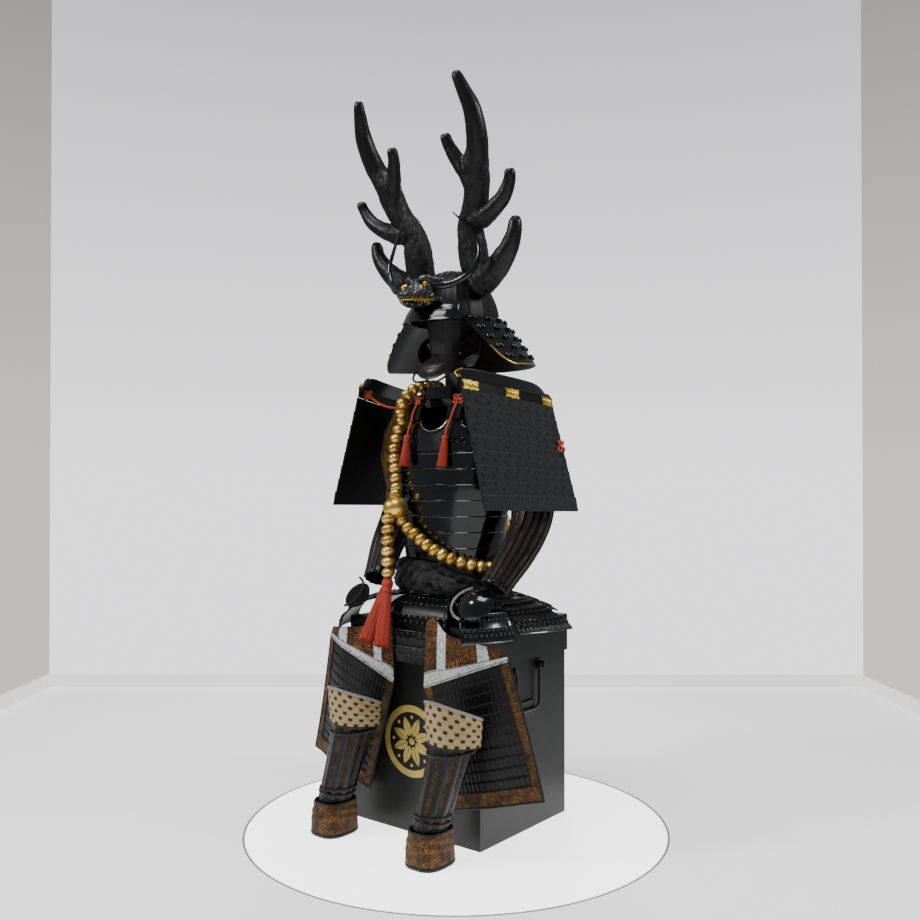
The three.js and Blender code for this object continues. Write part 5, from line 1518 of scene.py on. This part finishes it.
def thigh_rise(U, V):
    field = (V < FIELD_TOP) & (V > FIELD_LOW) & (U > FIELD_SIDE) & (U < 1 - FIELD_SIDE)
    lames = lame_rise(V, THIGH_LAMES, FIELD_LOW, FIELD_TOP, 1.6, top_first=False)
    ribs = 1.3 * wave_of(U * 20) ** 0.7
    plain = 2.4 + 0.9 * bell(V, 0.67, 0.006) + 0.9 * bell(V, 0.745, 0.006)
    puff = 1.2 * np.sin(np.pi * clamp01((V - 0.75) / 0.25)) * np.sin(np.pi * U * 3) ** 2
    return np.where(field, lames + ribs, plain + puff)


def upright_x(P):
    return stack(P[..., 0], 0.0, P[..., 2])


for side, sign in SIDES:
    steps = FIELD_LOW + (FIELD_TOP - FIELD_LOW) * np.arange(THIGH_LAMES + 1) / THIGH_LAMES
    vs = np.unique(np.concatenate([even(120), steps + 0.001, steps - 0.001]))
    apron = sheet("thigh_guard_cloth_" + side, thigh_point, even(150), vs, 2.5, upright_x,
                  ["brocade", "border", "silver", "field", "dark"], thigh_rise, zones=thigh_zone,
                  mirror=sign < 0, back=4, sharp=55)
    done(apron, "thigh_guard_" + side, slot="brocade")
    piping = Bag()
    us = [0.0] * 24 + [*even(30)] + [1.0] * 24
    vs = [*even(24, 0.665, 0.03)] + [0.0] * 30 + [*even(24, 0.03, 0.665)]
    tube(piping, edge_line(thigh_point, upright_x, us, vs, 0.6), 3.2, 10)
    for v in (0.672, 0.742):
        tube(piping, edge_line(thigh_point, upright_x, even(40), v, 2.9), 1.0, 6)
    us = [*even(30, 0.085, 0.915)] + [0.915] * 20
    vs = [0.078] * 30 + [*even(20, 0.1, 0.655)]
    tube(piping, edge_line(thigh_point, upright_x, us, vs, 2.9), 1.3, 6)
    done(piping.object("thigh_guard_piping_" + side, ["dark"], mirror=sign < 0), slot="black_cloth")


# Legs
LEGS = [dict(side="left", footX=165, footY=-320, kneeX=204, kneeY=-270, plateTop=398),
        dict(side="right", footX=-172, footY=-310, kneeX=-128, kneeY=-270, plateTop=388)]
SHIN_LOW, SHIN_HIGH = 86.8, 312
FOOT_TOP = 85.7
# The sole's layers: share of its size, and height
SOLE = [(0.985, 0.0), (1.02, 3.0), (1.02, 8.0), (0.95, 10.0)]
# Rows of the foot: height, middle, half width and half depth
FOOT = [(0, -2, 46, 56), (12, -2, 50, 60), (50, -3, 49, 58), (FOOT_TOP, 0, 46, 52)]


def squared(n):
    return power_of(n, 2 / 2.8)


def leg_axis(leg):
    def heart(P):
        t = (P[..., 2] - SHIN_LOW) / (SHIN_HIGH - SHIN_LOW)
        return stack(lerp(leg["footX"], leg["kneeX"], t), lerp(leg["footY"], leg["kneeY"], t), P[..., 2])
    return heart


def shin_at(leg):
    def at(U, V):
        swell = np.maximum(V, 0) ** 1.6
        rx = lerp(41, 55, swell)
        ry = lerp(45, 66, swell)
        turn = np.radians(lerp(90 + 34, 450 - 34, U))
        return stack(lerp(leg["footX"], leg["kneeX"], V) + rx * np.cos(turn),
                     lerp(leg["footY"], leg["kneeY"], V) + ry * np.sin(turn), lerp(SHIN_LOW, SHIN_HIGH, V))
    return at


def shin_splint(u):
    """How far u has come through one of the shin guard's splints and the gap after it."""
    return (u * 7.5 + 0.75) % 1


def shin_rise(U, V):
    strip = shin_splint(U) / 0.56
    bar = np.where(strip < 1, np.sin(np.pi * clamp01(strip)) ** 0.5, 0)
    ends = smooth(V / 0.05) * smooth((1 - V) / 0.05)
    return 0.6 + 2.6 * bar * ends


def shin_zone(u, v):
    if v > 0.94 or v < 0.05:
        return 2
    return 1 if shin_splint(u) < 0.56 else 0


def knee_at(leg):
    def at(U, V):
        s = 2 * U - 1
        turn = np.radians(s * 98 - 90)
        off = 3 + 3.8 + 4 + 8 * (V - 0.2) ** 2
        arch = 1 - 0.36 * np.abs(s) ** 1.5
        z = lerp(292, 292 + (leg["plateTop"] - 292) * arch, V) - 9 * s
        return stack(leg["kneeX"] + (55 + off) * np.cos(turn), leg["kneeY"] + (66 + off) * np.sin(turn), z)
    return at


def knee_dots(U, V):
    row_at = V * 6 + 0.2
    k = np.floor(row_at)
    x = U * 9 + 0.5 * (k % 2)
    dx = np.abs((x % 1) - 0.5) / 0.20
    dz = np.abs((row_at % 1) - 0.5) / 0.27
    return np.where(V > 0.93, 0, np.clip(1.6 - (dx ** 4 + dz ** 4), 0, 1))


def knee_rise(U, V):
    row_at = V * 6 + 0.2
    quilt = 0.9 * np.abs(np.sin(np.pi * row_at)) + 0.7 * wave_of(U * 9 + 0.5 * (np.floor(row_at) % 2))
    return 0.6 + quilt + 1.2 * knee_dots(U, V) + 3.2 * np.sin(np.pi * clamp01(V)) * 0.8


def foot_at(leg):
    def at(U, V):
        z = V * FOOT_TOP
        middle, half_x, half_y = (np.interp(z, [r[0] for r in FOOT], [r[k] for r in FOOT]) for k in (1, 2, 3))
        a = U * TAU
        return stack(leg["footX"] + half_x * squared(np.cos(a)),
                     leg["footY"] + middle + half_y * squared(np.sin(a)), z)
    return at


def foot_rise(U, V):
    seam = -0.9 * bell((U - 0.75 + 0.5) % 1, 0.5, 0.01)
    wrinkle = 0.9 * np.sin(V * 26 + 2.2 * np.sin(U * TAU * 2)) * smooth((V - 0.25) / 0.3)
    return 0.6 + wrinkle + seam


def foot_zone(u, v):
    return 1 if v < 0.13 or v > 0.95 else 0


for leg in LEGS:
    side = leg["side"]
    heart, at = leg_axis(leg), shin_at(leg)
    # Between the shin splints the brocade takes its darker copy, as painted shade
    done(sheet("shin_splints_" + side, at, even(150), even(70), 3, heart, ["mottle_shaded", "sleek", "dark"],
               shin_rise, zones=shin_zone, back=2), "shin_guard_" + side, slot="black_plates")
    ties = Bag()
    for v0, tilt in ((0.90, 0.012), (0.80, -0.02), (0.09, 0.01), (0.14, -0.012)):
        us = even(50, 0.01, 0.99)
        line = edge_line(at, heart, us, v0 + tilt * np.sin(us * 6), 4.6)
        tube(ties, line, 4.4 if v0 > 0.5 else 3.4, 10, side=(0, 0, 1), flat=0.5)
    blob(ties, edge_line(at, heart, 0.52, 0.1, 6.2)[0], (8, 6, 7), nu=14, nv=10)
    done(ties.object("shin_ties_" + side, ["crepe"]), slot="black_cloth")
    knee_in, over = upright(leg["kneeX"], leg["kneeY"]), knee_at(leg)
    knee = sheet("knee_quilt_" + side, over, even(200), even(90), 3.2, knee_in, ["tan", "dark"], knee_rise,
                 mask=knee_dots, back=1, sharp=70)
    done(knee, "knee_plate_" + side, slot="tan_cloth")
    rope = Bag()
    tube(rope, edge_line(over, knee_in, even(50), 0.985, 1.0), 3.4, 10, side=(0, 1, 0))
    done(rope.object("knee_rope_" + side, ["rope"]), slot="black_cloth")
    binding = Bag()
    us = [0.0] * 12 + [*even(40, 0.02, 0.98)] + [1.0] * 12
    vs = [*even(12, 0.95, 0.02)] + [0.0] * 40 + [*even(12, 0.02, 0.95)]
    tube(binding, edge_line(over, knee_in, us, vs, 0.8), 2.4, 8, side=(0, 1, 0))
    done(binding.object("knee_binding_" + side, ["dark"]), slot="black_cloth")
    done(sheet("foot_brocade_" + side, foot_at(leg), np.arange(96) / 96, even(40), 3,
               upright(leg["footX"], leg["footY"]), ["border", "dark"], foot_rise, ring=True, back=1,
               zones=foot_zone), "foot_cover_" + side, slot="brocade")
    sole = Bag()
    a = round_turn(96)
    lidded(sole, [stack(leg["footX"] + 50 * f * squared(np.cos(a)),
                        leg["footY"] - 2 + 60 * f * squared(np.sin(a)), z) for f, z in SOLE])
    done(sole.object("foot_sole_" + side, ["dark"]), slot="black_cloth")


# Looped knots of red cord, the ring on its cord, and a dark sheet under the collar that stands in for the
# shade there
def looped_knot(bag, centre, out, size):
    """Four loops of cord round a hard little core, in the plane that faces out."""
    ax = turned(np.cross(out, (0, 0, 1)), out)
    for turn in (0.6, 2.4, 3.9, 5.5):
        way = math.cos(turn) * ax[0] + math.sin(turn) * ax[1]
        side = -math.sin(turn) * ax[0] + math.cos(turn) * ax[1]
        loop = [np.array(centre) + size * (way * (0.62 + 0.62 * math.cos(a)) + side * 0.34 * math.sin(a)
                                           + ax[2] * 0.12 * math.sin(a)) for a in round_turn(20)]
        tube(bag, loop, size * 0.19, 8, side=ax[2], closed=True)
    blob(bag, centre, [size * 0.34] * 3, ax, 12, 8)


knots = Bag()
for centre, out, size in (((74, -100, 1139), (0.2, -1, 0.25), 13), ((-66, -100, 1139), (-0.1, -1, 0.25), 10),
                          ((-196, -163, 1158), (0.3, -1, 0.2), 11), ((289, 70, 1012), (1, 0.1, 0.1), 15)):
    looped_knot(knots, centre, out, size)
blob(knots, (292, 70, 1012), (5, 5, 5), mat=1)
hoop = [(-205.5 + 9 * math.cos(a), -160 + 1.5 * math.sin(a), 1153 + 9 * math.sin(a)) for a in round_turn(32)]
tube(knots, hoop, 1.6, 8, side=(0, 1, 0), closed=True, mat=1)
done(knots.object("cord_knots", ["cord", "gold"]), slot="silk_tassels")


def collar_at(U, V):
    a = np.radians(lerp(-28, 208, U))
    return stack(112 * np.cos(a), -8 + 80 * np.sin(a), lerp(1040, 1134, V))


# A dark sheet filling the opening under the collar: painted shade
done(sheet("collar_shade_sheet", collar_at, even(70), even(10), 2, upright(0, -12), ["inner"]),
     slot="black_cloth")


# Rosary
STRAND = [(-136, 1085, 24), (-135, 1050, 24), (-131, 1000, 23), (-128, 940, 22), (-125, 893, 24),
          (-118, 848, 40), (-112, 806, 28), (-98, 774, 22), (-82, 740, 22), (-66, 720, 22), (-46, 704, 22),
          (-22, 693, 22), (5, 694, 22), (30, 712, 22), (52, 762, 22), (72, 835, 22), (90, 905, 22),
          (104, 975, 23), (116, 1040, 24), (124, 1090, 27)]
OVER = [(-92, 98, 1128), (-90, 74, 1158.6), (-88, 31, 1180.6), (-88, -15, 1186.6), (-90, -57, 1182.6),
        (-97, -96, 1166), (-106, -124, 1126)]
PENDANTS = [[(-103, -182, 832), (-94, -193, 776), (-87, -199, 720), (-83, -202, 659.6)],
            [(-122, -157, 832), (-118, -164, 776), (-111, -171, 720), (-106, -173, 659.6)]]


def place_on_trunk(row):
    return trunk(row[0], row[1], row[2]).reshape(3)


# The way that each bead's first axis leans, as far as its place allows
BEAD_SIDE = np.array([0.3, 0.9, 0.2])


def string_beads(bag, points, pitch=27, radius=17.3):
    line = curve(points, 900)
    s = np.concatenate([[0], np.cumsum(np.linalg.norm(np.diff(line, axis=0), axis=1))])
    count = int(round(s[-1] / pitch))
    def along(at):
        return np.array([np.interp(at, s, line[:, i]) for i in range(3)])
    for k in range(count):
        middle = (k + 0.5) * s[-1] / count
        p = along(middle)
        run = unit(along(middle + 3) - along(middle - 3))
        ax = unit(BEAD_SIDE - run * BEAD_SIDE.dot(run))
        axes = np.array([ax, np.cross(run, ax), run])
        blob(bag, p, (radius, radius, pitch * 0.49), axes, 26, 16, power=0.92)
    tube(bag, line[::12], 2.2, 8, mat=1)


beads = Bag()
big = place_on_trunk(STRAND[5])
points = [place_on_trunk(r) for r in STRAND[5:]] + [np.array(p, float) for p in OVER]
points += [place_on_trunk(r) for r in STRAND[:5]] + [big + [-4, 0, 26]]
string_beads(beads, points)
blob(beads, big, (35, 35, 29.5), nu=48, nv=32)
done(beads.object("rosary_loop", ["bead", "silk"], sharp=60), "beads_loop", slot="beads")
hung = Bag()
for line in PENDANTS:
    string_beads(hung, line)
done(hung.object("rosary_pendants", ["bead", "silk"], sharp=60), "beads_pendant", slot="beads")


# Floor, skirting and the ring painted on the floor
def on_floor(depth, aside, z=0.0):
    """A point of the room, by its metres before the camera and to its right; z is in millimetres."""
    x, y = np.array(CAMERA[:2]) + np.array(FORWARD) * depth + np.array(ACROSS) * aside
    return (x * 1000, y * 1000, z)


WALL = [(-1.5, -2.1), (4.377, -1.803), (4.377, 1.755), (-1.5, 2.1)]
outline = [on_floor(*p, -1.0) for p in WALL]
floor = link("floor", outline, [tuple(range(4))[::-1]], ["floor"], smooth=False)
base = Bag()
for a, b in zip(WALL[:-1], WALL[1:]):
    corners = [on_floor(*a), on_floor(*b), on_floor(*b, 55), on_floor(*a, 55)]
    base.add(corners, [(0, 1, 2, 3)])
base.object("skirting", ["skirting"], smooth=False)
mark = Bag()
RING_IN, RING_OUT, DISC = 557.0, 562.0, 555
turns = round_turn(128)
centre = np.array(on_floor(2.697, -0.01, 0.6))
for radius in (RING_IN, RING_OUT):
    mark.add([centre + [radius * math.cos(t), radius * math.sin(t), 0] for t in turns], [])
mark.add([], [(i - 256, (i + 1) % 128 - 256, 128 + (i + 1) % 128 - 256, 128 + i - 256) for i in range(128)])
mark.object("floor_ring", ["ring"], smooth=False)
round_plate = [centre + [DISC * math.cos(t), DISC * math.sin(t), -1.0] for t in turns]
link("floor_disc", round_plate, [tuple(range(128))], ["disc"], smooth=False)
